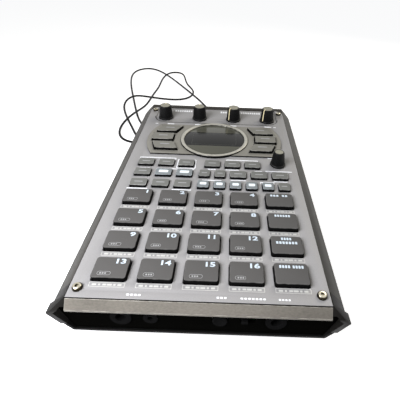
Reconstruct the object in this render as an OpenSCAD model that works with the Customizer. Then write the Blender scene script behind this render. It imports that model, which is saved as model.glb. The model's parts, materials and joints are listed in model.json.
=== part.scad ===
// Compact desktop pad sampler: a sloping faceplate with sixteen numbered pads,
// four function pads, rows of small keys, a round display and five knobs, on a
// two-part case with a recessed front panel, a rear panel and a DC power cord.
// Millimetres. +X right, +Y to the rear, +Z up. The origin is on the standing
// surface, under the centre of the case.

/* [Case] */
// Width across the front corner guards
body_w = 177.9; // [172:0.1:186]
// Depth from the front corner guards to the rear wall
body_d = 276.2; // [270:0.1:290]
// Height of the faceplate above the standing surface, at the front bolts
deck_h = 39.5; // [37:0.5:46]
// Slope of the faceplate, rising to the rear
deck_tilt = 4; // [3:0.5:6]
// Wall thickness of both case halves
wall = 2.5; // [2:0.1:3]
// Thickness of the case's own top wall, under the faceplate
deck_wall = 2.4; // [2:0.1:3]
// How far the side rail drops from the faceplate to its widest line
rail_drop = 9; // [7:0.5:11]
// Depth of the joint between the case halves, below the faceplate
seam_drop = 22; // [20:0.5:25]
// Radius of the case's rear corners, seen from above
rear_corner_r = 13; // [8:0.5:18]
// Height of the case bottom above the standing surface
foot_h = 8; // [5:0.5:9]

/* [Faceplate] */
// Thickness of the faceplate
plate_t = 2; // [1.6:0.1:2.5]
// Width of the faceplate
plate_w = 155; // [154:0.5:157]
// Depth of the shallow tray that holds the four rear knobs
tray_depth = 1; // [0.6:0.1:1.2]
// Width of that tray
tray_w = 138; // [134:1:144]
// Sideways spacing of the faceplate bolts
bolt_span_x = 145; // [143:0.5:147]
// Spacing of the faceplate bolts from front to rear
bolt_span_y = 249.2; // [246:0.2:252]

/* [Pads] */
// Width of one pad
pad_w = 21.4; // [19:0.1:22.5]
// Depth of one pad
pad_d = 16.2; // [14:0.1:17]
// How far a pad stands above the faceplate
pad_proud = 3.2; // [2.4:0.1:4]
// Travel of a pad when it is struck
pad_travel = 1; // [0.6:0.1:1.4]
// Sideways spacing of the pads
pad_pitch_x = 28; // [27:0.1:28.4]
// Spacing of the pad rows
pad_pitch_y = 23.9; // [22.6:0.1:24.2]
// Gap between a pad and its opening, on each side
pad_gap = 0.5; // [0.3:0.05:0.7]

/* [Keys] */
// Width of a wide key
key_w = 14; // [12:0.1:14.6]
// Width of a narrow key
small_key_w = 9.5; // [8.5:0.1:10]
// Depth of a key
key_d = 9.9; // [8.5:0.1:10.6]
// How far a key stands above the faceplate
key_proud = 2.2; // [1.6:0.1:3]
// Travel of a key
key_travel = 0.8; // [0.4:0.1:1]
// Gap between a key and its opening, on each side
key_gap = 0.4; // [0.3:0.05:0.5]

/* [Display] */
// Radius of the round display window
lens_r = 30.2; // [28:0.1:30.6]
// Outer radius of the bezel ring around it
bezel_r = 34.2; // [33.5:0.1:34.6]
// Thickness of the raised panel around the display and its keys
surround_t = 1.4; // [1:0.1:2]
// How far the six display keys stand above that panel
side_key_proud = 2.4; // [1.6:0.1:3]

/* [Knobs] */
// Height of a knob's top above the faceplate
knob_h = 14.3; // [11:0.1:16]
// Radius at the foot of a rear knob
knob_foot_r = 8.3; // [7.5:0.1:9]
// Radius at the top of a rear knob
knob_top_r = 6.6; // [6:0.1:7.2]
// Radius at the foot of the value knob
value_foot_r = 7.1; // [6.2:0.1:7.6]
// Radius at the top of the value knob
value_top_r = 5; // [4.4:0.1:5.8]
// Radius of every knob's shaft
shaft_r = 3; // [2.5:0.1:3.2]

/* [Sockets] */
// Bore radius of a quarter-inch socket
jack_r = 3.25; // [3.2:0.01:3.4]
// Bore radius of a 3.5 mm socket
mini_jack_r = 1.8; // [1.77:0.01:1.9]
// Bore depth of a quarter-inch socket
jack_depth = 22; // [18:0.5:24]
// Bore depth of a 3.5 mm socket
mini_jack_depth = 13; // [11:0.5:14]
// How far the front panel sits behind the corner guards
panel_recess = 5.5; // [4:0.5:7]

/* [Power cord] */
// Diameter of the cord
cord_d = 3.2; // [3:0.1:3.6]

/* [Hidden] */
$fn = 48;
shaft_gap = 0.05;       // running clearance of a shaft in its bushing
seat_gap = 0.2;         // clearance of a piece that drops into a pocket
stop_gap = 0.2;         // what is left under a pad or key at full travel

// Deck frame: x as the part's, y along the faceplate from the front bolts,
// z square to the faceplate, 0 on its top face.
guard_y = -11.5;                         // front of the corner guards from the bolts
deck_y = -body_d / 2 - guard_y;
plate_front = -6.5;
plate_rear = bolt_span_y + 9.3;
plate_corner_r = 10;
deck_floor = -plate_t - deck_wall;       // underside of the case's top wall
side_w = body_w / 2 - 1.65;              // half width at the widest line of the sides
seam_w = side_w - 4.8;
skirt_w = seam_w - 3.5;
base_w = skirt_w - 4;

// Pads
pad_rows = 4;
pad_cols = 5;
pad_field_y = 49.2;
pad_corner_r = 1.8;
flange_gap = 0.3;
flange_t = 1.4;
pad_flange = 1.5;
stem_t = 1.8;

// Keys: rows counted from the pads to the display
key_row_y = [104.3, 120.2, 136];
key_corner_r = 1.2;
key_flange = 1;
wide_pitch = 18.3;
small_pitch = 13.65;
left_key_x = -59.9;
right_key_x = 60.4;
mid_key_x = -5.8;
left_cols = [for (i = [0:2]) left_key_x + i * wide_pitch];
small_cols = [for (i = [0:5]) mid_key_x + i * small_pitch];

// Display
display_y = 181.5;
ledge = 1.25;                            // faceplate ledge under the window's rim
lens_t = 1.7;
bezel_t = 2.6;
surround_half_d = 30;
surround_side_r = 57.2;
surround_side_x = 10.8;
side_key_d = 13;
side_key_pitch = 17.2;
panel_glass = [2 * (lens_r - 5.2), 26];

// Boards, square to the deck
board_t = 1.6;
pad_stem_t = stem_t + 0.8;
board_top = deck_floor - flange_gap - flange_t - pad_stem_t - pad_travel - stop_gap;
sheet_t = 0.8;
board_half_w = 70;
pad_board_y = [6.5, 97.5];
key_board_y = [99, 244];
display_board = [64, 44];

// Knobs
knob_row_y = 232.6;
knob_pitch = 38.4;
knob_cols = [for (i = [-1.5:1:1.5]) i * knob_pitch];
value_knob = [60.4, 140];
bushing_r = shaft_r + 0.9;
bushing_gap = 0.3;
knob_lift = 0.3;                         // running gap under a knob's skirt
pot_w = 12;
bushing_top = -0.9;

// Bosses under the top wall, in the gaps between pads, keys and knobs
boss_r = 1.6;
boss_xs = [-pad_pitch_x / 2, pad_pitch_x / 2];
boss_ys = [pad_field_y, key_row_y[0] - key_d / 2 - key_flange - boss_r - 0.2, key_row_y[2] + 11, 222];

// Trim strip along the front edge of the faceplate
trim_w = plate_w;
trim_back = plate_front - 0.4;
trim_run = 4.4;
trim_drop = 5.6;
trim_lip = 1.6;
guard_back = -5;
lip_z = deck_h - trim_drop - trim_lip - 1;

// Case posts and screws
post_r = 3;
post_x = 65.5;
post_ys = [deck_y + 0.2, deck_y + 150.5, deck_y + 253];
screw_r = 1.4;
screw_head_r = 2.7;
screw_head_t = 1.7;
screw_bite = 6;                          // thread above the joint of the case halves
bolt_r = 1.5;
bolt_head_r = 3.15;
bolt_head_t = 2.2;
bolt_length = 8;
foot_r = 8;
foot_x = 56;
foot_y = [-118, 118];

// Main board and what stands on it, level with the standing surface
main_z = 13.8;
main_top = main_z + board_t;
main_half_w = 60;
main_y = [-body_d / 2 + panel_recess + 3.5, body_d / 2 - 4];
panel_t = 2.5;
jack_z = main_top + 6.5;
jack_body = [14, 24, 12];
jack_nose_r = 5.2;
jack_wall_gap = 0.1;
mini_body = [8, 14, 11];
mini_nose_r = 3.2;
front_y = -body_d / 2 + panel_recess;    // face of the front panel
rear_y = body_d / 2;                     // face of the rear panel
front_jack_x = [-47.5, 46.5];
front_mini_x = -29.5;
gain_x = 12.5;
gain_r = 4.6;
input_switch_x = 29.5;
rear_jack_x = [-51, -34, 38, 54];
rear_mini_x = [-19, -9];
dc_x = 2;
usb_x = 13;
power_switch_x = 25;
switch_slot = [9, 3.6];
switch_travel = 4;
lever = [4, 2.6];
lever_proud = 1.6;
rear_window = [132, 10, 45];             // width, lowest and highest z
jack_rim = 0.8;
rear_panel_t = wall - jack_rim;          // its sockets' rims end level with the case
dc_nose_r = 4.2;
dc_body = [9, 13, 11];
usb_shell = [9.2, 7.4, 3.6];
usb_z = jack_z - 1;
gain_shaft_r = 2;
switch_body_gap = panel_t + 0.6;         // from a panel's face to its switch body
switch_h = pad_stem_t - stem_t + pad_travel - key_travel;   // height of a key switch
side_stem_x = 49;
third_row_x = 0.3;
tray_front = 220;
tray_r = 14;

// DC plug and cord
dc_bore_r = 2.9;
dc_plug_r = 2.75;
dc_depth = 9.5;
plug_grip = [4.8, 20];                   // radius and length of the plug's grip
relief_l = 14;
cord_r = cord_d / 2;
cord_exit = [dc_x, rear_y + 1 + plug_grip[1] + relief_l, jack_z];
cord_steps = 2;
cord_sides = 8;

// Wall adapter at the cord's far end, behind the case and clear of the sockets
adapter_size = [28, 52, 30];
adapter_r = 3;
adapter_at = [75.5, rear_y + 33.9];
pin_size = [1.6, 16, 6.4];
pin_pitch = 12.7;

// The cord's route: out of the plug, down to the standing surface, round a wide
// loop to the left and two narrower ones, and back behind the case to its adapter
cord_end = [49, adapter_at[1] - 2, 9];
cord_points = [
    cord_exit, cord_exit + [0, 13, 0], [-2, 216, 8], [-11, 252, 1.6], [-31, 312, 1.6], [-68, 382, 1.6],
    [-112, 468, 1.6], [-164, 546, 1.6], [-204, 508, 1.6], [-184, 412, 1.6], [-155, 322, 1.6],
    [-131, 245, 1.6], [-112, 198, 1.6], [-86, 188, 1.6], [-66, 172, 1.6], [-74, 148, 1.6],
    [-104, 146, 1.6], [-122, 188, 1.6], [-150, 246, 1.6], [-166, 294, 3], [-154, 322, 9],
    [-126, 330, 1.6], [-68, 316, 1.6], [-48, 336, 7], [-55, 370, 7], [-72, 416, 2],
    [-79, 450, 6.4], [-88, 483, 7.4], [-117, 484, 7.4], [-126, 446, 4], [-122, 388, 1.6],
    [-121, 328, 8.4], [-123, 280, 2.5], [-134, 234, 8.4], [-145, 190, 2], [-130, 148, 1.6],
    [-92, 142, 1.6], [-22, 150, 1.6],
    cord_end - [23, 0, 0], cord_end
];

// ---------- shared shapes ----------

// Puts its children in the deck frame
module on_deck() {
    translate([0, deck_y, deck_h]) rotate([deck_tilt, 0, 0]) children();
}

// Rounded rectangle from true arcs, centred
module rounded(w, d, r) {
    square([w - 2 * r, d], center = true);
    square([w, d - 2 * r], center = true);
    for (x = [-1, 1], y = [-1, 1])
        translate([x * (w / 2 - r), y * (d / 2 - r)]) circle(r);
}

// Upright slab of the 2D children between two heights
module slab(z0, z1) {
    translate([0, 0, z0]) linear_extrude(z1 - z0) children();
}

// Right half of the case's cross-section, from the deck down, moved inwards
function case_side(inset) = [
    [plate_w / 2 + 0.5 - inset, 0],
    [side_w - inset, -rail_drop],
    [seam_w - inset, -seam_drop],
    [skirt_w - inset, -seam_drop - 8],
    [base_w - inset, -seam_drop - 16],
    [base_w - inset, -80]
];

// Height of the joint between the case halves above a place along y
function seam_z(y) = deck_h + (y - deck_y) * tan(deck_tilt) - seam_drop / cos(deck_tilt);

function mirrored(points) = [for (i = [len(points) - 1:-1:0]) [-points[i][0], points[i][1]]];

// The case's cross-section carried along the deck, top at height top_z
module case_prism(inset, top_z) {
    on_deck() translate([0, body_d + 20, 0]) rotate([90, 0, 0]) linear_extrude(body_d + 60)
        intersection() {
            polygon(concat(case_side(inset), mirrored(case_side(inset))));
            translate([-body_w, -90]) square([2 * body_w, 90 + top_z]);
        }
}

// What lies between two heights in the deck frame
module deck_band(z0, z1) {
    on_deck() translate([-body_w, -60, z0]) cube([2 * body_w, body_d + 120, z1 - z0]);
}

// Plan of the case, moved inwards, between two levels above the standing surface
module plan_prism(inset, z0, z1) {
    w = body_w - 2 * inset;
    y1 = body_d / 2 - inset;
    r = rear_corner_r - inset;
    slab(z0, z1) {
        translate([-w / 2, -body_d / 2]) square([w, y1 + body_d / 2 - r]);
        translate([-w / 2 + r, 0]) square([w - 2 * r, y1]);
        for (x = [-1, 1]) translate([x * (w / 2 - r), y1 - r]) circle(r);
    }
}

// ---------- layout of pads, keys and controls ----------

function pad_x(col) = (col - (pad_cols - 1) / 2) * pad_pitch_x;
function pad_y(row) = pad_field_y + ((pad_rows - 1) / 2 - row) * pad_pitch_y;

// Right-hand display key: 0 front, 1 middle, 2 rear; edges as front then rear x
function side_key_points(i, grow) =
    let (
        inner = [[34.5, 39.5], [41, 41], [40, 34]][i],
        outer = [[57, 61.5], [63, 63], [61, 57]][i],
        y0 = display_y + (i - 1) * side_key_pitch - side_key_d / 2 - grow,
        y1 = y0 + side_key_d + 2 * grow
    )
    [[inner[0] - grow, y0], [outer[0] + grow, y0], [outer[1] + grow, y1], [inner[1] - grow, y1]];

module side_key_shapes(side, grow) {
    for (i = [0:2]) scale([side, 1]) polygon(side_key_points(i, grow));
}

module key_shape(x, row, w, grow) {
    translate([x, key_row_y[row]]) rounded(w + 2 * grow, key_d + 2 * grow, key_corner_r);
}

module left_key_shapes(grow) {
    for (row = [0:2], x = left_cols) key_shape(x, row, key_w, grow);
}

module row_1_shapes(grow) {
    for (x = small_cols) key_shape(x, 0, small_key_w, grow);
}

module row_2_shapes(grow) {
    for (i = [0:1]) key_shape(small_cols[i], 1, small_key_w, grow);
    for (i = [0:2]) key_shape(right_key_x - i * wide_pitch, 1, key_w, grow);
}

module row_3_shapes(grow) {
    for (i = [0:2]) key_shape(third_row_x + i * wide_pitch, 2, key_w, grow);
}

// Every opening that the faceplate and the case's top wall share
module deck_openings() {
    for (row = [0:pad_rows - 1], col = [0:pad_cols - 1])
        translate([pad_x(col), pad_y(row)])
            rounded(pad_w + 2 * pad_gap, pad_d + 2 * pad_gap, pad_corner_r);
    left_key_shapes(key_gap);
    row_1_shapes(key_gap);
    row_2_shapes(key_gap);
    row_3_shapes(key_gap);
    for (side = [-1, 1]) side_key_shapes(side, key_gap);
    translate([0, display_y]) circle(lens_r - ledge);
    for (x = knob_cols) translate([x, knob_row_y]) circle(bushing_r + bushing_gap);
    translate(value_knob) circle(bushing_r + bushing_gap);
}

module bolt_places() {
    for (x = [-1, 1], y = [0, 1]) translate([x * bolt_span_x / 2, y * bolt_span_y, 0]) children();
}

// ---------- case ----------

module post_places() {
    for (x = [-1, 1], y = post_ys) translate([x * post_x, y, 0]) children();
}

// Pocket that the faceplate drops into
module plate_shape(grow) {
    y0 = plate_front - grow;
    y1 = plate_rear + grow;
    r = plate_corner_r + grow;
    w = plate_w + 2 * grow;
    translate([-w / 2, y0]) square([w, y1 - r - y0]);
    translate([-w / 2 + r, y0]) square([w - 2 * r, y1 - y0]);
    for (x = [-1, 1]) translate([x * (w / 2 - r), y1 - r]) circle(r);
}

module top_case() {
    color([0.2, 0.2, 0.2]) difference() {
        union() {
            difference() {
                intersection() {
                    union() {
                        case_prism(0, 0);
                        corner_guards();
                    }
                    plan_prism(0, 0, 90);
                    deck_band(-seam_drop, 1);
                }
                intersection() {
                    case_prism(wall, deck_floor);
                    plan_prism(wall, 0, 90);
                }
            }
            intersection() {
                union() {
                    post_places() cylinder(r = post_r, h = 80);
                    on_deck() bolt_places() translate([0, 0, -12]) cylinder(r = post_r, h = 12);
                }
                deck_band(-seam_drop, -plate_t);
                plan_prism(wall / 2, 0, 90);
            }
            on_deck() board_bosses();
        }
        on_deck() slab(-plate_t, 5) plate_shape(seat_gap);
        on_deck() slab(deck_floor - 1, 0) deck_openings();
        on_deck() bolt_places() translate([0, 0, -bolt_length - 1])
            cylinder(r = bolt_r + shaft_gap, h = 20);
        for (y = post_ys, x = [-1, 1]) translate([x * post_x, y, 0])
            cylinder(r = screw_r + shaft_gap, h = seam_z(y) + screw_bite + 1);
        front_cut();
        undercut();
        rear_window_cut(seat_gap);
    }
}

// Low bosses under the top wall that carry the two upper boards
module board_bosses() {
    for (y = boss_ys, x = boss_xs)
        translate([x, y, board_top]) cylinder(r = boss_r, h = deck_floor - board_top + 0.5);
}

// Carries a 2D outline, drawn as deck y and z, from one x to another
module across(x0, x1) {
    translate([x0, 0, 0]) rotate([90, 0, 90]) linear_extrude(x1 - x0) children();
}

// Guards at the two front corners, a little wider than the sides
function guard_side() = [
    [plate_w / 2 + 0.5, 0],
    [body_w / 2, -rail_drop],
    [seam_w + 1.65, -seam_drop],
    [seam_w - 2, -seam_drop - 4]
];

module corner_guards() {
    on_deck() translate([0, guard_back, 0]) rotate([90, 0, 0]) linear_extrude(40)
        polygon(concat(guard_side(), mirrored(guard_side())));
}

// Space in front of the case's top wall for the trim, and the bevel above the guards
module front_cut() {
    on_deck() {
        translate([-trim_w / 2 - seat_gap, -40, -60])
            cube([trim_w + 2 * seat_gap, 40 + trim_back, 80]);
        across(-body_w, body_w) polygon([
            [trim_back, 0], [trim_back - trim_run, -trim_drop],
            [-60, -trim_drop], [-60, 20], [trim_back, 20]
        ]);
    }
}

// Undercut of the case's front edges, which lean back towards the bottom
module undercut() {
    across(-body_w, body_w) polygon([
        [-body_d / 2, lip_z], [front_y - 0.6, foot_h], [front_y - 0.6, -1],
        [-body_d, -1], [-body_d, lip_z]
    ]);
}

module rear_window_cut(grow) {
    translate([-rear_window[0] / 2 - grow, rear_y - wall - 1, rear_window[1] - grow])
        cube([rear_window[0] + 2 * grow, wall + 5, rear_window[2] - rear_window[1] + 2 * grow]);
}

module bottom_case() {
    color([0.05, 0.05, 0.05]) difference() {
        union() {
            difference() {
                intersection() {
                    case_prism(0, 0);
                    plan_prism(0, foot_h, 90);
                    deck_band(-90, -seam_drop);
                }
                intersection() {
                    case_prism(wall, 0);
                    plan_prism(wall, foot_h + wall, 90);
                }
            }
            intersection() {
                post_places() translate([0, 0, foot_h]) cylinder(r = post_r, h = 80);
                deck_band(-90, -seam_drop);
                plan_prism(wall / 2, 0, 90);
            }
            board_posts() translate([0, 0, foot_h + wall - 0.5])
                cylinder(r = 3, h = main_z - foot_h - wall + 0.5);
        }
        post_places() {
            cylinder(r = screw_r + shaft_gap, h = 80);
            cylinder(r = screw_head_r + seat_gap, h = foot_h + screw_head_t + seat_gap);
        }
        undercut();
        rear_window_cut(seat_gap);
    }
}

module board_posts() {
    for (x = [-50, 50], y = [-96, 0, 92]) translate([x, y, 0]) children();
}

module faceplate() {
    color([0.72, 0.72, 0.74]) on_deck() difference() {
        slab(-plate_t, 0) plate_shape(0);
        slab(-plate_t - 1, 1) deck_openings();
        bolt_places() translate([0, 0, -5]) cylinder(r = bolt_r + seat_gap, h = 10);
        slab(-tray_depth, 1) tray_shape();
    }
}

// Tray of the four rear knobs, rounded at the front and open to the rear edge
module tray_shape() {
    w = tray_w / 2;
    translate([-w, tray_front + tray_r]) square([tray_w, 60]);
    translate([-w + tray_r, tray_front]) square([tray_w - 2 * tray_r, 60]);
    for (x = [-1, 1]) translate([x * (w - tray_r), tray_front + tray_r]) circle(tray_r);
}

module front_trim() {
    color([0.55, 0.54, 0.5]) on_deck() across(-trim_w / 2, trim_w / 2) polygon([
        [trim_back - seat_gap, -0.2],
        [trim_back - seat_gap - trim_run, -trim_drop],
        [trim_back - seat_gap - trim_run, -trim_drop - trim_lip],
        [trim_back - seat_gap, -trim_drop - trim_lip + 1.2]
    ]);
}

// Wall of a panel at the case's front, that follows the case's cross-section
module front_panel() {
    color([0.03, 0.03, 0.03]) difference() {
        intersection() {
            case_prism(wall + seat_gap, deck_floor - seat_gap);
            translate([-body_w, front_y, foot_h + wall + seat_gap])
                cube([2 * body_w, panel_t, 60]);
        }
        for (x = front_jack_x) front_hole(x, jack_nose_r + jack_wall_gap);
        front_hole(front_mini_x, mini_nose_r + jack_wall_gap);
        front_hole(gain_x, gain_r + 0.4);
        translate([input_switch_x, front_y, jack_z]) slot_cut();
    }
}

module front_hole(x, r) {
    translate([x, front_y - 1, jack_z]) rotate([-90, 0, 0]) cylinder(r = r, h = panel_t + 2);
}

module slot_cut() {
    translate([-switch_slot[0] / 2, -5, -switch_slot[1] / 2])
        cube([switch_slot[0], panel_t + 10, switch_slot[1]]);
}

module rear_panel() {
    color([0.05, 0.05, 0.05]) difference() {
        translate([-rear_window[0] / 2, rear_y - wall, rear_window[1]])
            cube([rear_window[0], rear_panel_t, rear_window[2] - rear_window[1]]);
        for (x = rear_jack_x) rear_hole(x, jack_nose_r + jack_wall_gap);
        for (x = rear_mini_x) rear_hole(x, mini_nose_r + jack_wall_gap);
        rear_hole(dc_x, dc_nose_r + jack_wall_gap);
        translate([power_switch_x, rear_y, jack_z]) slot_cut();
        translate([usb_x, rear_y, usb_z])
            cube([usb_shell[0] + 0.2, 20, usb_shell[2] + 0.2], center = true);
    }
}

module rear_hole(x, r) {
    translate([x, rear_y + 1, jack_z]) rotate([90, 0, 0]) cylinder(r = r, h = wall + 2);
}

module faceplate_bolts() {
    color([0.8, 0.78, 0.7]) on_deck() bolt_places() difference() {
        union() {
            cylinder(r1 = bolt_head_r, r2 = bolt_head_r * 0.6, h = bolt_head_t);
            translate([0, 0, -bolt_length]) cylinder(r = bolt_r, h = bolt_length + 0.1);
        }
        translate([0, 0, bolt_head_t - 1.2]) cylinder(r = 1.15, h = 3, $fn = 6);
    }
}

module case_screws() {
    color([0.3, 0.3, 0.3]) for (x = [-1, 1], y = post_ys) translate([x * post_x, y, foot_h]) {
        difference() {
            translate([0, 0, seat_gap]) cylinder(r = screw_head_r, h = screw_head_t);
            cylinder(r = 1.2, h = 1.2, $fn = 6);
        }
        translate([0, 0, seat_gap + screw_head_t - 0.1])
            cylinder(r = screw_r, h = seam_z(y) + screw_bite - foot_h - screw_head_t);
    }
}

module rubber_feet() {
    color([0.1, 0.1, 0.1]) for (x = [-1, 1], y = foot_y)
        translate([x * foot_x, y, 0]) {
            cylinder(r1 = foot_r - 0.8, r2 = foot_r, h = 0.8);
            translate([0, 0, 0.8]) cylinder(r = foot_r, h = foot_h - 0.8);
        }
}

// ---------- display ----------

module surround_shape() {
    intersection() {
        union() {
            for (x = [-1, 1])
                translate([x * surround_side_x, display_y]) circle(surround_side_r);
            translate([-surround_side_x, display_y - surround_side_r])
                square([2 * surround_side_x, 2 * surround_side_r]);
        }
        translate([-body_w / 2, display_y - surround_half_d])
            square([body_w, 2 * surround_half_d]);
    }
}

module display_surround() {
    color([0.6, 0.6, 0.58]) on_deck() difference() {
        slab(0, surround_t) surround_shape();
        slab(-1, surround_t + 1) {
            translate([0, display_y]) circle(bezel_r + seat_gap);
            for (side = [-1, 1]) side_key_shapes(side, key_gap);
        }
    }
}

module display_bezel() {
    color([0.65, 0.65, 0.62]) on_deck() translate([0, display_y, 0]) rotate_extrude()
        polygon([
            [lens_r + seat_gap / 2, 0], [bezel_r, 0], [bezel_r, bezel_t - 0.9],
            [bezel_r - 1.4, bezel_t], [lens_r + 1.2, bezel_t], [lens_r + seat_gap / 2, lens_t + 0.2]
        ]);
}

module display_lens() {
    color([0.1, 0.1, 0.1]) on_deck() translate([0, display_y, 0]) cylinder(r = lens_r, h = lens_t);
}

module display_module() {
    color([0.05, 0.05, 0.05]) on_deck() translate([0, display_y, 0]) {
        translate([-panel_glass[0] / 2, -panel_glass[1] / 2, deck_floor - 0.1])
            cube([panel_glass[0], panel_glass[1], -deck_floor - 0.2]);
        translate([-display_board[0] / 2, -display_board[1] / 2, deck_floor - board_t])
            cube([display_board[0], display_board[1], board_t]);
    }
}

// ---------- boards ----------

// Board under the top wall between two places along the deck, cleared for the posts
module upper_board(y, top, t) {
    difference() {
        on_deck() translate([-board_half_w, y[0], top - t]) cube([2 * board_half_w, y[1] - y[0], t]);
        post_places() cylinder(r = post_r + 0.6, h = 80);
        on_deck() bolt_places() translate([0, 0, -30]) cylinder(r = post_r + 0.6, h = 40);
    }
}

module pad_board() {
    color([0.1, 0.3, 0.15]) upper_board(pad_board_y, board_top - sheet_t, board_t);
}

module pad_sensor_sheet() {
    color([0.35, 0.3, 0.2]) upper_board(pad_board_y, board_top, sheet_t);
}

module key_board() {
    color([0.1, 0.3, 0.15]) {
        upper_board(key_board_y, board_top, board_t);
        on_deck() slab(board_top - 0.1, board_top + switch_h) {
            for (row = [0:2], x = left_cols) translate([x, key_row_y[row]]) circle(2);
            for (x = small_cols) translate([x, key_row_y[0]]) circle(2);
            for (i = [0:1]) translate([small_cols[i], key_row_y[1]]) circle(2);
            for (i = [0:2]) translate([right_key_x - i * wide_pitch, key_row_y[1]]) circle(2);
            for (i = [0:2]) translate([third_row_x + i * wide_pitch, key_row_y[2]]) circle(2);
            for (side = [-1, 1], i = [-1:1])
                translate([side * side_stem_x, display_y + i * side_key_pitch]) circle(2);
        }
    }
}

module main_board() {
    color([0.1, 0.3, 0.15]) {
        translate([-main_half_w, main_y[0], main_z])
            cube([2 * main_half_w, main_y[1] - main_y[0], board_t]);
        // Bodies of the two slide switches
        translate([input_switch_x - 6, front_y + switch_body_gap, main_top - 0.1])
            cube([12, 6, jack_z - main_top + 3]);
        translate([power_switch_x - 6, rear_y - lever_proud - switch_body_gap - 6, main_top - 0.1])
            cube([12, 6, jack_z - main_top + 3]);
        // Shielded processor and storage
        translate([-20, -20, main_top - 0.1]) cube([30, 30, 2.6]);
        translate([18, -12, main_top - 0.1]) cube([16, 12, 1.6]);
    }
}

// ---------- pads and keys ----------

// A cap with a retaining flange under the top wall and a stem below it
module button(top, d_stem) {
    slab(deck_floor - flange_gap - 0.1, top - 0.5) children(0);
    slab(top - 0.6, top) children(1);
    slab(deck_floor - flange_gap - flange_t, deck_floor - flange_gap) children(2);
    slab(deck_floor - flange_gap - flange_t - d_stem, deck_floor - flange_gap - flange_t + 0.1)
        children(3);
}

module pad(col, row) {
    color([0.34, 0.34, 0.33]) on_deck() translate([pad_x(col), pad_y(row), 0])
        button(pad_proud, pad_stem_t) {
            rounded(pad_w, pad_d, pad_corner_r);
            rounded(pad_w - 0.8, pad_d - 0.8, pad_corner_r - 0.4);
            rounded(pad_w + 2 * pad_flange, pad_d + 2 * pad_flange, pad_corner_r);
            rounded(pad_w - 6, pad_d - 5, pad_corner_r);
        }
}

module key(x, row, w) {
    translate([x, key_row_y[row], 0]) button(key_proud, stem_t) {
        rounded(w, key_d, key_corner_r);
        rounded(w - 0.8, key_d - 0.8, key_corner_r - 0.4);
        rounded(w + 2 * key_flange, key_d + 2 * key_flange, key_corner_r);
        circle(2.4);
    }
}

module keys_left() {
    color([0.5, 0.5, 0.48]) on_deck() for (row = [0:2], x = left_cols) key(x, row, key_w);
}

module keys_row_1() {
    color([0.5, 0.5, 0.48]) on_deck() for (x = small_cols) key(x, 0, small_key_w);
}

module keys_row_2() {
    color([0.5, 0.5, 0.48]) on_deck() {
        for (i = [0:1]) key(small_cols[i], 1, small_key_w);
        for (i = [0:2]) key(right_key_x - i * wide_pitch, 1, key_w);
    }
}

module keys_row_3() {
    color([0.5, 0.5, 0.48]) on_deck() for (i = [0:2]) key(third_row_x + i * wide_pitch, 2, key_w);
}

module display_keys(side) {
    color([0.6, 0.6, 0.58]) on_deck() for (i = [0:2])
        button(surround_t + side_key_proud, stem_t) {
            scale([side, 1]) polygon(side_key_points(i, 0));
            scale([side, 1]) polygon(side_key_points(i, -0.4));
            scale([side, 1]) polygon(side_key_points(i, key_flange));
            translate([side * side_stem_x, display_y + (i - 1) * side_key_pitch]) circle(2.4);
        }
}

// ---------- knobs ----------

module knob_body(foot_r, top_r, floor_z) {
    z0 = floor_z + knob_lift;
    difference() {
        union() {
            translate([0, 0, z0]) cylinder(r = foot_r, h = 1.8);
            translate([0, 0, z0 + 1.7]) cylinder(r1 = foot_r - 0.7, r2 = top_r, h = knob_h - z0 - 2.3);
            translate([0, 0, knob_h - 0.7]) cylinder(r1 = top_r, r2 = top_r - 0.6, h = 0.7);
            translate([0, 0, board_top + 1.4]) cylinder(r = shaft_r, h = knob_h - board_top - 3);
        }
        translate([top_r * 0.62, -0.4, knob_h - 0.4]) cube([top_r, 0.8, 2]);
    }
}

module rear_knob(i) {
    color([0.08, 0.08, 0.08]) on_deck() translate([knob_cols[i], knob_row_y, 0])
        rotate(90) knob_body(knob_foot_r, knob_top_r, -tray_depth);
}

module value_knob() {
    color([0.08, 0.08, 0.08]) on_deck() translate(value_knob)
        knob_body(value_foot_r, value_top_r, 0);
}

module pot() {
    difference() {
        union() {
            translate([-pot_w / 2, -pot_w / 2, board_top]) cube([pot_w, pot_w, deck_floor - board_top]);
            translate([0, 0, deck_floor - 0.1]) cylinder(r = bushing_r, h = bushing_top - deck_floor + 0.1);
        }
        translate([0, 0, board_top + 1]) cylinder(r = shaft_r + shaft_gap, h = 30);
    }
}

module control_pots() {
    color([0.6, 0.6, 0.6]) {
        on_deck() {
            for (x = knob_cols) translate([x, knob_row_y, 0]) pot();
            translate(value_knob) pot();
        }
        translate([gain_x, front_y + panel_t + 0.1, jack_z]) difference() {
            translate([-5.5, 0, main_top - jack_z]) cube([11, 9, 12]);
            translate([0, -1, 0]) rotate([-90, 0, 0]) cylinder(r = gain_shaft_r + shaft_gap, h = 7);
        }
    }
}

module gain_knob() {
    color([0.1, 0.1, 0.1]) translate([gain_x, front_y, jack_z]) rotate([-90, 0, 0]) difference() {
        union() {
            translate([0, 0, -1.5]) cylinder(r = gain_r, h = 3.4);
            translate([0, 0, 1.8]) cylinder(r = gain_shaft_r, h = 5.4);
        }
        translate([-0.5, -gain_r, -2]) cube([1, gain_r, 1]);
    }
}

// ---------- sockets and switches ----------

// A socket with its body at y > 0, its nose and flange at the panel, and a bore
module socket(body, nose_r, plate, bore_r, bore_depth) {
    difference() {
        union() {
            translate([-body[0] / 2, 0, main_top - jack_z]) cube(body);
            translate([0, 0.1, 0]) rotate([90, 0, 0]) cylinder(r = nose_r, h = plate + jack_rim + 0.1);
            translate([0, -plate, 0]) rotate([90, 0, 0]) cylinder(r = nose_r + 1.3, h = jack_rim);
        }
        translate([0, -plate - jack_rim - 0.1, 0]) rotate([-90, 0, 0])
            cylinder(r = bore_r, h = bore_depth + 0.1);
    }
}

module front_socket(x) {
    translate([x, front_y + panel_t, jack_z]) children();
}

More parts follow.
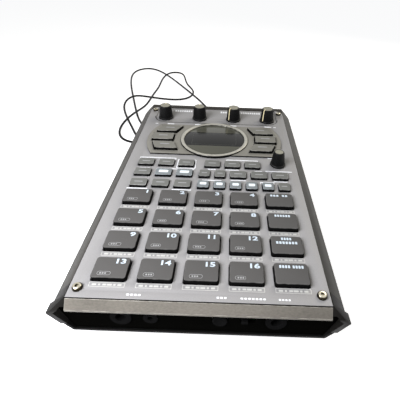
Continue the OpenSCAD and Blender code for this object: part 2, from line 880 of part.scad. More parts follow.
module rear_socket(x) {
    translate([x, rear_y - wall, jack_z]) rotate([0, 0, 180]) children();
}

module quarter_inch_jacks() {
    color([0.12, 0.12, 0.12]) {
        for (x = front_jack_x) front_socket(x)
            socket(jack_body, jack_nose_r, panel_t, jack_r, jack_depth);
        for (x = rear_jack_x) rear_socket(x)
            socket(jack_body, jack_nose_r, rear_panel_t, jack_r, jack_depth);
    }
}

module mini_jacks() {
    color([0.12, 0.12, 0.12]) {
        front_socket(front_mini_x)
            socket(mini_body, mini_nose_r, panel_t, mini_jack_r, mini_jack_depth);
        for (x = rear_mini_x) rear_socket(x)
            socket(mini_body, mini_nose_r, rear_panel_t, mini_jack_r, mini_jack_depth);
    }
}

module dc_jack() {
    color([0.1, 0.1, 0.1]) rear_socket(dc_x) difference() {
        union() {
            translate([-dc_body[0] / 2, 0, main_top - jack_z]) cube(dc_body);
            translate([0, 0.1, 0]) rotate([90, 0, 0]) cylinder(r = dc_nose_r, h = rear_panel_t + 0.1);
        }
        translate([0, -wall, 0]) rotate([-90, 0, 0]) cylinder(r = dc_bore_r, h = wall + dc_depth);
    }
}

module usb_port() {
    stand = usb_z - usb_shell[2] / 2 - main_top;
    color([0.7, 0.7, 0.7]) translate([usb_x, rear_y - 0.4 - usb_shell[1] / 2, usb_z]) {
        difference() {
            cube(usb_shell, center = true);
            translate([0, 1, 0])
                cube([usb_shell[0] - 0.7, usb_shell[1], usb_shell[2] - 0.7], center = true);
        }
        translate([0, -0.8, 0]) cube([usb_shell[0] - 3, usb_shell[1] - 2, 0.7], center = true);
        translate([0, -1.2, -usb_shell[2] / 2 - stand / 2])
            cube([usb_shell[0], usb_shell[1] - 2.4, stand], center = true);
    }
}

// Lever of a slide switch, at the left end of its travel, pointing to -y
module switch_lever() {
    translate([-switch_travel / 2 - lever[0] / 2, -lever_proud, -lever[1] / 2])
        cube([lever[0], lever_proud + switch_body_gap - 0.2, lever[1]]);
}

module input_switch() {
    color([0.1, 0.1, 0.1]) translate([input_switch_x, front_y, jack_z]) switch_lever();
}

module power_switch() {
    color([0.1, 0.1, 0.1]) translate([power_switch_x, rear_y - lever_proud, jack_z])
        rotate([0, 0, 180]) switch_lever();
}

// ---------- power cord ----------

module dc_plug() {
    color([0.06, 0.06, 0.06]) translate([dc_x, rear_y, jack_z]) rotate([-90, 0, 0]) {
        translate([0, 0, -dc_depth - 1]) cylinder(r = dc_plug_r, h = dc_depth + 2.2);
        translate([0, 0, 0.6]) cylinder(r = plug_grip[0], h = plug_grip[1] + 0.4);
        translate([0, 0, plug_grip[1] + 0.9])
            cylinder(r1 = plug_grip[0] - 1, r2 = cord_r + 0.5, h = relief_l + 0.1);
    }
}

// A point of the smooth curve drawn by four neighbouring points
function curve_point(p, t) = (pow(1 - t, 3) * p[0] + (3 * t * t * t - 6 * t * t + 4) * p[1]
    + (-3 * t * t * t + 3 * t * t + 3 * t + 1) * p[2] + t * t * t * p[3]) / 6;

function with_ends(points) =
    let (last = len(points) - 1)
    concat([2 * points[0] - points[1]], points, [2 * points[last] - points[last - 1]]);

function on_floor(p) = [p[0], p[1], max(p[2], cord_r)];

function cord_curve(points) =
    let (guides = with_ends(points))
    concat(
        [for (i = [0:len(points) - 2], k = [0:cord_steps - 1])
            on_floor(curve_point([for (j = [0:3]) guides[i + j]], k / cord_steps))],
        [points[len(points) - 1]]
    );

function unit(v) = v / norm(v);

// One ring of the tube, square to the curve at point i
function cord_ring(curve, i) =
    let (
        last = len(curve) - 1,
        end = len(cord_points) - 1,
        ahead = unit(i == 0 ? cord_points[1] - cord_points[0]
            : i == last ? cord_points[end] - cord_points[end - 1]
            : curve[i + 1] - curve[i - 1]),
        side = unit(cross(ahead, [0, 0, 1])),
        up = cross(side, ahead)
    )
    [for (k = [0:cord_sides - 1])
        curve[i] + cord_r * (cos(360 * k / cord_sides) * side + sin(360 * k / cord_sides) * up)];

module power_cord() {
    curve = cord_curve(cord_points);
    rings = len(curve);
    n = cord_sides;
    color([0.05, 0.05, 0.05]) polyhedron(
        points = [for (i = [0:rings - 1]) each cord_ring(curve, i)],
        faces = concat(
            [[for (k = [0:n - 1]) k]],
            [for (i = [0:rings - 2], k = [0:n - 1])
                each let (a = i * n + k, b = i * n + (k + 1) % n) [[a, a + n, b], [b, a + n, b + n]]],
            [[for (k = [n - 1:-1:0]) (rings - 1) * n + k]]
        )
    );
}

module power_adapter() {
    last = cord_points[len(cord_points) - 1];
    side_x = adapter_at[0] - adapter_size[0] / 2;
    color([0.07, 0.07, 0.07]) {
        translate(adapter_at) slab(0, adapter_size[2])
            rounded(adapter_size[0], adapter_size[1], adapter_r);
        translate(last) rotate([0, 90, 0])
            cylinder(r1 = cord_r + 0.5, r2 = 3.6, h = side_x - last[0] + 0.1);
        for (x = [-1, 1])
            translate([adapter_at[0] + x * pin_pitch / 2 - pin_size[0] / 2,
                adapter_at[1] + adapter_size[1] / 2 - 0.1, (adapter_size[2] - pin_size[2]) / 2])
                cube(pin_size);
    }
}

top_case();
bottom_case();
faceplate();
front_trim();
front_panel();
rear_panel();
faceplate_bolts();
case_screws();
rubber_feet();
display_surround();
display_bezel();
display_lens();
display_module();
pad_board();
pad_sensor_sheet();
key_board();
main_board();
control_pots();
quarter_inch_jacks();
mini_jacks();
dc_jack();
usb_port();
for (i = [1:16])
    pad((i - 1) % 4, floor((i - 1) / 4));
for (i = [1:4])
    pad(4, i - 1);
display_keys(-1);  // display_keys_left
display_keys(1);  // display_keys_right
keys_left();
keys_row_1();
keys_row_2();
keys_row_3();
for (i = [1:4])
    rear_knob(i - 1);
value_knob();
gain_knob();
power_switch();
input_switch();
dc_plug();
power_cord();
power_adapter();
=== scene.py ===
# %% [markdown]
# A desktop pad sampler is a shallow case with a tilted metal deck. Rubber pads, small keys, a round
# display and a few knobs stand in openings of the deck. The measured model already holds every
# size, so this file never guesses one: it asks the model where each piece is, and then gives each
# piece its soft edges, its print and its finish.

# %% Load the measured model
import json
import math
import bmesh
import bpy
import numpy as np
from mathutils import Matrix, Vector


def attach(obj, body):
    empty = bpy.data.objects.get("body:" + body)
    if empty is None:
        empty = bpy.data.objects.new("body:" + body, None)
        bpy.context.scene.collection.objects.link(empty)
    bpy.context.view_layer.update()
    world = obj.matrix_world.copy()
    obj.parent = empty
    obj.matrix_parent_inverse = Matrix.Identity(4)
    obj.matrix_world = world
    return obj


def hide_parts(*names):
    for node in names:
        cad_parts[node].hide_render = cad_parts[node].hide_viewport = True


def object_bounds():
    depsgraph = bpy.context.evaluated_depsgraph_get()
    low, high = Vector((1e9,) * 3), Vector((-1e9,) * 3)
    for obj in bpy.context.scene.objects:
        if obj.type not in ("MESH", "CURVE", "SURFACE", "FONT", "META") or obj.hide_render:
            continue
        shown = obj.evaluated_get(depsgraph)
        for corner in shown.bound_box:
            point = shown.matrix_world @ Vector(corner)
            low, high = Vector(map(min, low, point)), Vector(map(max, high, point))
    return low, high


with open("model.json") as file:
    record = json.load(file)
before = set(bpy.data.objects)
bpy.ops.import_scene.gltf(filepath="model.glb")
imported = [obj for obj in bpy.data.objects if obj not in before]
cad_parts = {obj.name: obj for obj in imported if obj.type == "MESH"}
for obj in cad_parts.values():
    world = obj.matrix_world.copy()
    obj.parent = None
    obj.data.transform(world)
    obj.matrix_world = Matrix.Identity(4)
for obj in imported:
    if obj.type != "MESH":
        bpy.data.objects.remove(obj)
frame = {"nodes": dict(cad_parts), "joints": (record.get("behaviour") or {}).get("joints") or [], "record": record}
cad_low, cad_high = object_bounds()
scene = bpy.context.scene
record = frame["record"]
node_body = {n: b for b, members in record["behaviour"]["bodies"].items() for n in members}
print("measured box", [round(v, 4) for v in cad_low], [round(v, 4) for v in cad_high])

# %% [markdown]
# The camera stands in front of the sampler and a little above it, as a person at the desk does. A
# short lens so near makes the front edge look wide and the rear edge narrow. The small shift
# sets the sampler a little off centre without turning the camera. The lens, shift, place and
# direction were solved from where the pads, keys, bolts, knobs and edges lie in the photograph.

# %% Camera
camera_data = bpy.data.cameras.new("camera")
camera_data.sensor_width = 36
camera_data.lens = 30.42
camera_data.shift_x = -0.0652
camera_data.shift_y = -0.0455
camera_data.clip_start = 0.01
camera_data.clip_end = 30
camera = bpy.data.objects.new("camera", camera_data)
view_right = Vector((0.99935, 0.01721, 0.03182)).normalized()
view_ahead = Vector((0.00247, 0.84503, -0.53471)).normalized()
view_up = view_right.cross(view_ahead)
turn = Matrix((view_right, view_up, -view_ahead)).transposed().to_4x4()
camera.matrix_world = Matrix.Translation((0.0127, -0.2607, 0.2021)) @ turn
scene.collection.objects.link(camera)
scene.camera = camera
scene.view_settings.view_transform = "Standard"
print("camera", [round(v, 3) for v in camera.matrix_world.translation])

# %% [markdown]
# Small helpers for materials come first, because the cord already needs one. A colour is written
# as it looks on a screen and turned into the linear value that the shader works with.

# %% Colour and node helpers
def colour(red, green, blue):
    linear = []
    for value in (red, green, blue):
        share = value / 255
        linear.append(share / 12.92 if share <= 0.04045 else ((share + 0.055) / 1.055) ** 2.4)
    return (*linear, 1.0)


def add_node(tree, kind, feeds=(), **settings):
    node = tree.nodes.new(kind)
    for name, value in settings.items():
        setattr(node, name, value)
    for key, value in dict(feeds).items():
        if isinstance(value, bpy.types.NodeSocket):
            tree.links.new(value, node.inputs[key])
        else:
            node.inputs[key].default_value = value
    return node


def join(tree, source, target):
    tree.links.new(source, target)


def put(name, data):
    made = bpy.data.objects.new(name, data)
    scene.collection.objects.link(made)
    return made


def new_group(name, family, inputs, outputs):
    tree = bpy.data.node_groups.new(name, family + "NodeTree")
    for side, sockets in (("INPUT", inputs), ("OUTPUT", outputs)):
        for title, kind in sockets.items():
            tree.interface.new_socket(name=title, in_out=side, socket_type="NodeSocket" + kind)
    return tree, add_node(tree, "NodeGroupInput"), add_node(tree, "NodeGroupOutput")


# %% [markdown]
# Moulded plastic, rubber and painted metal are never one flat colour. Up close they have a fine
# grain, and over a hand's width they vary a little in tone and gloss. One shader group makes all
# three from two noise patterns on Object coordinates, so every finish can share it and only the
# numbers differ. Stretch draws the grain out sideways, as brushing does on metal.

# %% Shader group: surface grain
def make_grain_group():
    tree, start, end = new_group(
        "surface_grain", "Shader", {"Scale": "Float", "Stretch": "Float", "Variation": "Float"},
        {"Height": "Float", "Tone": "Float", "Gloss": "Float"})
    place = add_node(tree, "ShaderNodeTexCoord")
    along = add_node(tree, "ShaderNodeCombineXYZ", {"X": start.outputs["Stretch"], "Y": 1, "Z": 1})
    drawn = add_node(tree, "ShaderNodeVectorMath", {
        0: place.outputs["Object"], 1: along.outputs[0]}, operation="DIVIDE")
    fine = add_node(tree, "ShaderNodeTexNoise", {
        "Detail": 3, "Vector": drawn.outputs[0], "Scale": start.outputs["Scale"]})
    broad = add_node(tree, "ShaderNodeTexNoise", {
        "Scale": 24, "Detail": 2, "Vector": place.outputs["Object"]})
    join(tree, fine.outputs["Fac"], end.inputs["Height"])
    mixed = add_node(tree, "ShaderNodeMath", {
        0: fine.outputs["Fac"], 1: broad.outputs["Fac"]}, operation="ADD")
    centred = add_node(tree, "ShaderNodeMath", {0: mixed.outputs[0], 1: 1}, operation="SUBTRACT")
    spread = add_node(tree, "ShaderNodeMath", {
        0: centred.outputs[0], 1: start.outputs["Variation"], 2: 1}, operation="MULTIPLY_ADD")
    join(tree, spread.outputs[0], end.inputs["Tone"])
    join(tree, broad.outputs["Fac"], end.inputs["Gloss"])
    return tree


grain_group = make_grain_group()

# %% [markdown]
# Two more groups serve the controls. Pads, keys and knobs get their light from above. The first
# group paints shade on the sides of pads, keys, the display's ring and surround and the bolts: a
# face gets the darker side colour the further it turns from the deck's up direction. The second
# lightens the rims, partly as wear where fingers and bags scuff them and partly as a painted
# highlight where an edge would catch the light. Each mesh carries a rim value on its faces, 1 on a
# rounded edge and 0 elsewhere, and noise breaks it up.

# %% Shader groups: painted side shade, and edge wear with a painted highlight
def make_top_group(up):
    tree, start, end = new_group(
        "painted_side_shade", "Shader", {"Top": "Color", "Side": "Color"}, {"Color": "Color"})
    place = add_node(tree, "ShaderNodeTexCoord")
    # The side colour is painted shade: the more a face turns away from up, the more of it
    facing = add_node(tree, "ShaderNodeVectorMath", {
        0: place.outputs["Normal"], 1: up}, operation="DOT_PRODUCT")
    ramp = add_node(tree, "ShaderNodeMapRange", {
        "Value": facing.outputs["Value"], "From Min": 0.7, "From Max": 0.95},
        interpolation_type="SMOOTHSTEP")
    mix = add_node(tree, "ShaderNodeMix", {
        "Factor": ramp.outputs["Result"], 6: start.outputs["Side"], 7: start.outputs["Top"]},
        data_type="RGBA")
    join(tree, mix.outputs[2], end.inputs["Color"])
    return tree


def make_wear_group():
    tree, start, end = new_group(
        "edge_wear_and_highlight", "Shader", {"Color": "Color", "Worn": "Color", "Amount": "Float"},
        {"Color": "Color"})
    # Rim faces get the lighter colour: partly wear, partly a painted highlight on edges that catch light
    rim = add_node(tree, "ShaderNodeAttribute", attribute_name="rim")
    place = add_node(tree, "ShaderNodeTexCoord")
    noise = add_node(tree, "ShaderNodeTexNoise", {
        "Scale": 260, "Detail": 4, "Vector": place.outputs["Object"]})
    patch = add_node(tree, "ShaderNodeMapRange", {
        "From Min": 0.35, "From Max": 0.7, "Value": noise.outputs["Fac"]})
    both = add_node(tree, "ShaderNodeMath", {
        0: rim.outputs["Fac"], 1: patch.outputs["Result"]}, operation="MULTIPLY")
    much = add_node(tree, "ShaderNodeMath", {
        0: both.outputs[0], 1: start.outputs["Amount"]}, operation="MULTIPLY", use_clamp=True)
    mix = add_node(tree, "ShaderNodeMix", {
        "Factor": much.outputs[0], 6: start.outputs["Color"], 7: start.outputs["Worn"]},
        data_type="RGBA")
    join(tree, mix.outputs[2], end.inputs["Color"])
    return tree


press_axis = next(j["axis"] for j in frame["joints"] if j["name"] == "pad_1_press")
deck_up = -Vector(press_axis).normalized()
side_shade_group = make_top_group(deck_up)
wear_and_highlight_group = make_wear_group()
print("shader groups", [g.name for g in bpy.data.node_groups])

# %% [markdown]
# A finish is one call. It lays the grain over a base colour, paints shade on the sides when a side
# colour is given, lightens the rims with wear and a painted highlight, and turns the grain's height
# into a small bump. Plain numbers such as metallic and coat go straight on the shader, which keeps
# them readable in any other program.

# %% Finishes
def finish(name, top, rough, side=None, metal=0.0, coat=0.0, mirror=0.25, grain=900.0,
           stretch=1.0, variation=0.08, bump=0.04, wear_and_highlight_colour=None, wear_and_highlight_amount=0.35, glow=0.0):
    made = bpy.data.materials.new(name)
    made.use_nodes = True
    tree = made.node_tree
    shader = tree.nodes["Principled BSDF"]
    texture = add_node(tree, "ShaderNodeGroup", {
        "Scale": grain, "Stretch": stretch, "Variation": variation}, node_tree=grain_group)
    base = add_node(tree, "ShaderNodeMix", {"Factor": 1}, data_type="RGBA", blend_type="MULTIPLY")
    # A side colour paints shade on every face that turns away from the deck's up direction
    if side:
        two = add_node(tree, "ShaderNodeGroup", {"Top": top, "Side": side}, node_tree=side_shade_group)
        join(tree, two.outputs["Color"], base.inputs[6])
    else:
        base.inputs[6].default_value = top
    join(tree, texture.outputs["Tone"], base.inputs[7])
    # The rims' lighter colour is partly wear and partly a painted highlight
    rim_wear_and_highlight = add_node(tree, "ShaderNodeGroup", {
        "Worn": wear_and_highlight_colour or tuple(min(1.0, c * 1.8) for c in top[:3]) + (1.0,), "Amount": wear_and_highlight_amount,
        "Color": base.outputs[2]}, node_tree=wear_and_highlight_group)
    join(tree, rim_wear_and_highlight.outputs["Color"], shader.inputs["Base Color"])
    dull = add_node(tree, "ShaderNodeMapRange", {
        "To Min": max(0.02, rough - 0.03), "To Max": min(1.0, rough + 0.03),
        "Value": texture.outputs["Gloss"]})
    join(tree, dull.outputs["Result"], shader.inputs["Roughness"])
    raised = add_node(tree, "ShaderNodeBump", {
        "Strength": bump, "Distance": 0.001, "Height": texture.outputs["Height"]})
    join(tree, raised.outputs["Normal"], shader.inputs["Normal"])
    shader.inputs["Metallic"].default_value = metal
    shader.inputs["Specular IOR Level"].default_value = mirror
    shader.inputs["Coat Weight"].default_value = coat
    shader.inputs["Coat Roughness"].default_value = 0.06
    if glow:
        if side:
            lamp = add_node(tree, "ShaderNodeGroup", {
                "Top": top, "Side": (0, 0, 0, 1)}, node_tree=side_shade_group)
            join(tree, lamp.outputs["Color"], shader.inputs["Emission Color"])
        shader.inputs["Emission Strength"].default_value = glow
    return made


cord_finish = finish("cord_black", colour(13, 13, 13), 0.5, mirror=0.12, grain=1500, bump=0.05)

# %% [markdown]
# The cord is 1.83 m of soft two-core lead. A cubic B-spline through a few listed points bends
# evenly, and a NURBS curve of order four is exactly that. One mirrored point past each end makes
# the curve start and stop on its first and last point. It leaves the plug straight, comes down to
# the desk, makes the loose loops behind the case, and ends in the wall adapter.

# %% Power cord
cord_points = [
    (2, 173.1, 21.9), (2, 186.1, 21.9), (-2, 216, 8), (-11, 252, 1.6), (-31, 312, 1.6),
    (-68, 382, 1.6), (-112, 468, 1.6), (-164, 546, 1.6), (-204, 508, 1.6), (-184, 412, 1.6),
    (-155, 322, 1.6), (-131, 245, 1.6), (-112, 198, 1.6), (-86, 188, 1.6), (-66, 172, 1.6),
    (-74, 148, 1.6), (-104, 146, 1.6), (-122, 188, 1.6), (-150, 246, 1.6), (-166, 294, 3),
    (-154, 322, 9), (-126, 330, 1.6), (-68, 316, 1.6), (-48, 336, 7), (-55, 370, 7),
    (-72, 416, 2), (-79, 450, 6.4), (-88, 483, 7.4), (-117, 484, 7.4), (-126, 446, 4),
    (-122, 388, 1.6), (-121, 328, 8.4), (-123, 280, 2.5), (-134, 234, 8.4), (-145, 190, 2),
    (-130, 148, 1.6), (-92, 142, 1.6), (-22, 150, 1.6), (26, 170, 9), (49, 170, 9),
]
cord_diameter = 0.0032


def make_cord():
    places = [Vector(p) / 1000 for p in cord_points]
    guides = [2 * places[0] - places[1], *places, 2 * places[-1] - places[-2]]
    data = bpy.data.curves.new("power_cord_flex", "CURVE")
    data.dimensions = "3D"
    data.bevel_depth = cord_diameter / 2
    data.bevel_resolution = 3
    data.use_fill_caps = True
    spline = data.splines.new("NURBS")
    spline.points.add(len(guides) - 1)
    for point, place in zip(spline.points, guides):
        point.co = (*place, 1)
    spline.order_u = 4
    spline.resolution_u = 10
    data.materials.append(cord_finish)
    made = put("power_cord_flex", data)
    return made, places[0]


cord, cord_exit = make_cord()
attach(cord, "case")
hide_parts("power_cord")
print("cord starts at", [round(v, 4) for v in cord_exit])

# %% [markdown]
# Almost everything sits on the tilted deck, so the next cells work in deck millimetres: across,
# along the deck from the front bolts, and up from the faceplate. One matrix takes a finished mesh
# from there to its place on the sampler. The matrix itself is measured from the model: the pads'
# direction of travel gives the tilt, and the bolts and the plate's top face give the origin.

# %% Deck millimetres
AXES = {"across": Vector((1, 0, 0)), "along": deck_up.cross(Vector((1, 0, 0))), "up": deck_up}
deck_turn = Matrix(list(AXES.values())).transposed()


def node_points(node, turned=True):
    flat = np.zeros(len(frame["nodes"][node].data.vertices) * 3)
    frame["nodes"][node].data.vertices.foreach_get("co", flat)
    found = flat.reshape(-1, 3) * 1000
    return found @ np.array(deck_turn) if turned else found


bolt_places = node_points("faceplate_bolts")
bolt_front = bolt_places[bolt_places[:, 1] < bolt_places[:, 1].mean()]
deck_origin = np.array([
    0.0,
    (bolt_front[:, 1].min() + bolt_front[:, 1].max()) / 2,
    node_points("faceplate")[:, 2].max(),
])
to_place = Matrix.LocRotScale(deck_turn @ Vector(deck_origin / 1000), deck_turn, Vector((1e-3,) * 3))
upright = Matrix.Diagonal((1e-3, 1e-3, 1e-3, 1))
print("deck origin", [round(v, 2) for v in to_place.translation * 1000])

# %% [markdown]
# Several nodes hold more than one solid, such as the nine left keys. Corners that share a place
# belong together, so following the faces from corner to corner sorts the points into solids.

# %% Solids of a node
same_place = 0.004  # corners are rounded to steps of this many millimetres


def solids(node, turned=True):
    points = node_points(node, turned)
    if turned:
        points = points - deck_origin
    rounded = np.round(node_points(node) / same_place).astype(int)
    _, same = np.unique(rounded, axis=0, return_inverse=True)
    same = same.ravel()
    parent = list(range(same.max() + 1))

    def top_of(i):
        while parent[i] != i:
            parent[i] = parent[parent[i]]
            i = parent[i]
        return i

    for face in frame["nodes"][node].data.polygons:
        first = top_of(same[face.vertices[0]])
        for corner in face.vertices[1:]:
            parent[top_of(same[corner])] = first
    groups = np.array([top_of(i) for i in same])
    found = [points[groups == g] for g in set(groups)]
    return sorted(found, key=lambda group: group[:, :2].sum())


def middle(points):
    return (points.min(0) + points.max(0)) / 2


keys_found = {n: solids(n) for n in ("keys_left", "keys_row_1", "keys_row_2", "keys_row_3")}
print("keys", {n: len(found) for n, found in keys_found.items()})

# %% [markdown]
# The caps of pads and keys are lofts: the same rounded outline is repeated at several heights, a
# little smaller where the edge rounds over, and the rings are skinned. That gives a real edge
# radius with few faces. The outline is any convex shape, so one function serves the square pads
# and the slanted display keys.

# %% Outlines and lofts
def inset_corners(corners, amount):
    moved = []
    count = len(corners)
    for i in range(count):
        before, here, after = (Vector(corners[(i + k) % count]) for k in (-1, 0, 1))
        into = (here - before).normalized()
        out = (after - here).normalized()
        normal_in = Vector((-into.y, into.x))
        normal_out = Vector((-out.y, out.x))
        bisect = (normal_in + normal_out) / (1 + normal_in.dot(normal_out))
        moved.append(here + bisect * amount)
    return moved


def round_corners(corners, radius, steps=6):
    outline = []
    count = len(corners)
    for i in range(count):
        before, here, after = (Vector(corners[(i + k) % count]) for k in (-1, 0, 1))
        into = (here - before).normalized()
        out = (after - here).normalized()
        bend = math.acos(max(-1, min(1, into.dot(out))))
        reach = radius * math.tan(bend / 2)
        centre = here - into * reach + Vector((-into.y, into.x)) * radius
        start = math.atan2(-into.x, into.y)
        for k in range(steps + 1):
            angle = start + bend * k / steps
            outline.append(centre + Vector((math.cos(angle), math.sin(angle))) * radius)
    return outline


def circle_outline(radius, centre=(0, 0), steps=72):
    angles = (2 * math.pi * k / steps for k in range(steps))
    return [Vector((centre[0] + radius * math.cos(a), centre[1] + radius * math.sin(a))) for a in angles]


def loft(shape, rings, rims=(), closed=True):
    rim = shape.faces.layers.float.get("rim") or shape.faces.layers.float.new("rim")
    made = [[shape.verts.new(p) for p in ring] for ring in rings]
    for index, (low, high) in enumerate(zip(made, made[1:])):
        for k in range(len(low)):
            after = (k + 1) % len(low)
            face = shape.faces.new((low[k], low[after], high[after], high[k]))
            face[rim] = 1.0 if index in rims else 0.0
    if closed:
        shape.faces.new(list(reversed(made[0])))
        shape.faces.new(made[-1])
    else:
        for k in range(len(made[0])):
            after = (k + 1) % len(made[0])
            shape.faces.new((made[-1][k], made[-1][after], made[0][after], made[0][k]))


def cap_rings(corners, radius, profile):
    rings = []
    for amount, height in profile:
        outline = round_corners(inset_corners(corners, amount), max(radius - amount, 0.12))
        rings.append([(p.x, p.y, height) for p in outline])
    return rings


def edge_profile(top, radius, steps=4):
    arc = [(math.pi / 2) * k / steps for k in range(steps + 1)]
    return [(radius * (1 - math.cos(a)), top - radius * (1 - math.sin(a))) for a in arc]


# %% [markdown]
# A mesh becomes a piece of the sampler here: it is moved to its place, shaded smooth with sharp
# edges kept, given its finish and hung on the moving body it rides on, and the measured solids it
# stands for are hidden.

# %% From mesh to piece
def end_shape(name, shape, smooth, matrix=Matrix()):
    mesh = bpy.data.meshes.new(name)
    shape.to_mesh(mesh)
    shape.free()
    mesh.transform(matrix)
    mesh.polygons.foreach_set("use_smooth", [True] * len(mesh.polygons))
    mesh.set_sharp_from_angle(angle=math.radians(smooth))
    return mesh


def as_piece(name, shape, body, material, matrix=to_place, stands_for=(), smooth=38):
    bmesh.ops.recalc_face_normals(shape, faces=shape.faces)
    mesh = end_shape(name, shape, smooth, matrix)
    return place_mesh(name, mesh, body, material, stands_for)


def place_mesh(name, mesh, body, material, stands_for=()):
    if material:
        mesh.materials.clear()
        mesh.materials.append(material)
    made = put(name, mesh)
    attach(made, body)
    if stands_for:
        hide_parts(*stands_for)
    return made


def ride_on(node, title, shape, material, matrix=to_place):
    as_piece(f"{node}_{title}", shape, node_body[node], material, matrix)


def stand_in(node, title, shape, material):
    as_piece(f"{node}_{title}", shape, node_body[node], material, stands_for=(node,))


# %% [markdown]
# Pressed, cut and moulded parts of the case have no knife edges. The measured solids do, so a copy
# of each is cleaned into whole flat faces and every hard edge gets a small bevel. The bevel's
# faces are marked as rim, for the wear and the painted edge highlight. Round faces stay as they
# are, because their facets meet at a few degrees only.

# %% Soft edges for the measured solids
merge_distance = 3e-6  # metres
flat_angle = math.radians(0.5)


def softened(node, width, material, hard=28, segments=2):
    shape = bmesh.new()
    shape.from_mesh(frame["nodes"][node].data)
    bmesh.ops.remove_doubles(shape, verts=shape.verts, dist=merge_distance)
    bmesh.ops.dissolve_limit(
        shape, angle_limit=flat_angle, verts=shape.verts, edges=shape.edges)
    rim = shape.faces.layers.float.new("rim")
    edges = [e for e in shape.edges if e.is_manifold and e.calc_face_angle() > math.radians(hard)]
    made = bmesh.ops.bevel(
        shape, geom=edges, offset=width / 1000, offset_type="WIDTH", segments=segments,
        profile=0.5, affect="EDGES", clamp_overlap=True)
    for face in made["faces"]:
        face[rim] = 1.0
    mesh = end_shape(node + "_soft", shape, hard)
    return place_mesh(node + "_soft", mesh, node_body[node], material, (node,))


# %% [markdown]
# The faceplate is painted silver, the front trim is brushed, and the shell and front panel are
# dark. The side rails and the guards at their front are one moulding in two tones, so one finish
# picks the darker tone by how far forward a point lies.

# %% Case finishes
# The near-white rim colour is partly wear and partly a painted highlight on the cut edges
silver = finish("faceplate_silver", colour(145, 144, 143), 0.5, metal=0.12, mirror=0.15, grain=1500,
                variation=0.2, bump=0.05, wear_and_highlight_colour=colour(226, 226, 226), wear_and_highlight_amount=0.5)
trim_metal = finish("trim_brushed", colour(112, 108, 100), 0.45, metal=0.2, mirror=0.1, grain=1200,
                    stretch=2, variation=0.55, bump=0.1, wear_and_highlight_colour=colour(206, 202, 190), wear_and_highlight_amount=0.6)
black = finish("case_black", colour(16, 16, 15), 0.5, mirror=0.03, grain=1200, bump=0.1)
gloss = finish("panel_gloss", colour(7, 7, 6), 0.22, mirror=0.0, grain=500, bump=0.01, wear_and_highlight_amount=0.2)


def make_rail_finish(guard_back):
    # The pale rim colour at a high amount paints a highlight along the edges, partly wear
    made = finish("rail_satin", colour(50, 48, 44), 0.5, mirror=0.08, grain=1600, bump=0.06,
                  wear_and_highlight_colour=colour(150, 147, 136), wear_and_highlight_amount=0.8)
    tree = made.node_tree
    shader = tree.nodes["Principled BSDF"]
    place = add_node(tree, "ShaderNodeTexCoord")
    split = add_node(tree, "ShaderNodeSeparateXYZ", {0: place.outputs["Object"]})
    front = add_node(tree, "ShaderNodeMath", {
        1: guard_back, 0: split.outputs["Y"]}, operation="LESS_THAN")
    pick = add_node(tree, "ShaderNodeMix", {
        7: colour(20, 19, 17), "Factor": front.outputs[0],
        6: shader.inputs["Base Color"].links[0].from_socket}, data_type="RGBA")
    join(tree, pick.outputs[2], shader.inputs["Base Color"])
    return made


guard_depth = 0.0145
rail = make_rail_finish(cad_low[1] + guard_depth)
print("finishes", len(bpy.data.materials))

# %% [markdown]
# With the finishes ready, each shell and panel gets its softened copy. The bevel is widest on the
# moulded shells and narrowest on the sheet metal.

# %% Case pieces
softened("top_case", 0.35, rail)
softened("bottom_case", 0.4, black)
softened("faceplate", 0.22, silver)
softened("front_trim", 0.3, trim_metal)
softened("front_panel", 0.25, gloss)
softened("rear_panel", 0.2, black)

# %% [markdown]
# Printed ink is a skin a few hundredths of a millimetre thick. It could be painted in a texture,
# but then it would need an image, so here it is real geometry: thin rounded bars, thin frames, and
# figures from the built-in font turned into meshes. What a maker would letter with words gets plain
# bars, and only the pads' numbers are figures.

# %% Ink shapes
ink_depth = 0.04
figure_share = 0.69  # how much of the built-in font's size a figure is tall
ink = finish("print_white", colour(226, 228, 230), 0.55, grain=2200, variation=0.06, bump=0.02)
pad_ink = finish("print_pad", colour(190, 202, 210), 0.55, grain=2200, variation=0.08, bump=0.02)
dim_ink = finish("print_dim", colour(146, 147, 146), 0.6, grain=2200, variation=0.1, bump=0.02)
strip_ink = finish("print_strip", colour(188, 188, 182), 0.6, grain=2200, variation=0.1, bump=0.02)


def rectangle(centre, width, depth):
    x, y = centre
    return [(x - width / 2, y - depth / 2), (x + width / 2, y - depth / 2),
            (x + width / 2, y + depth / 2), (x - width / 2, y + depth / 2)]


def add_bar(shape, centre, size, height, radius=0.3):
    flat = ((0, height), (0, height + ink_depth))
    loft(shape, cap_rings(rectangle(centre, *size), radius, flat))


def add_word(shape, centre, width, tall, height):
    count = max(2, round(width / 2.1))
    pitch = width / count
    for k in range(count):
        x = centre[0] - width / 2 + pitch * (k + 0.5)
        add_bar(shape, (x, centre[1]), (pitch * 0.72, tall), height, 0.35)


def add_frame(shape, centre, size, height, radius=0.4, line=0.3):
    walls = ((0, height), (0, height + ink_depth), (line, height + ink_depth), (line, height))
    loft(shape, cap_rings(rectangle(centre, *size), radius, walls), closed=False)


def add_figures(shape, text, corner, size, height, wide=1.3):
    data = bpy.data.curves.new("figures", "FONT")
    data.body = text
    data.size = size / figure_share
    data.offset = 0.16
    data.extrude = ink_depth / 2
    data.align_x = "RIGHT"
    data.resolution_u = 5
    holder = put("figures", data)
    seen = holder.evaluated_get(bpy.context.evaluated_depsgraph_get())
    mesh = bpy.data.meshes.new_from_object(seen)
    bpy.data.objects.remove(holder)
    place = Matrix.Translation((corner[0], corner[1] - size, height + ink_depth / 2))
    mesh.transform(place @ Matrix.Diagonal((wide, 1, 1, 1)))
    shape.from_mesh(mesh)
    bpy.data.meshes.remove(mesh)


print("ink ready, one skin is", ink_depth, "mm")

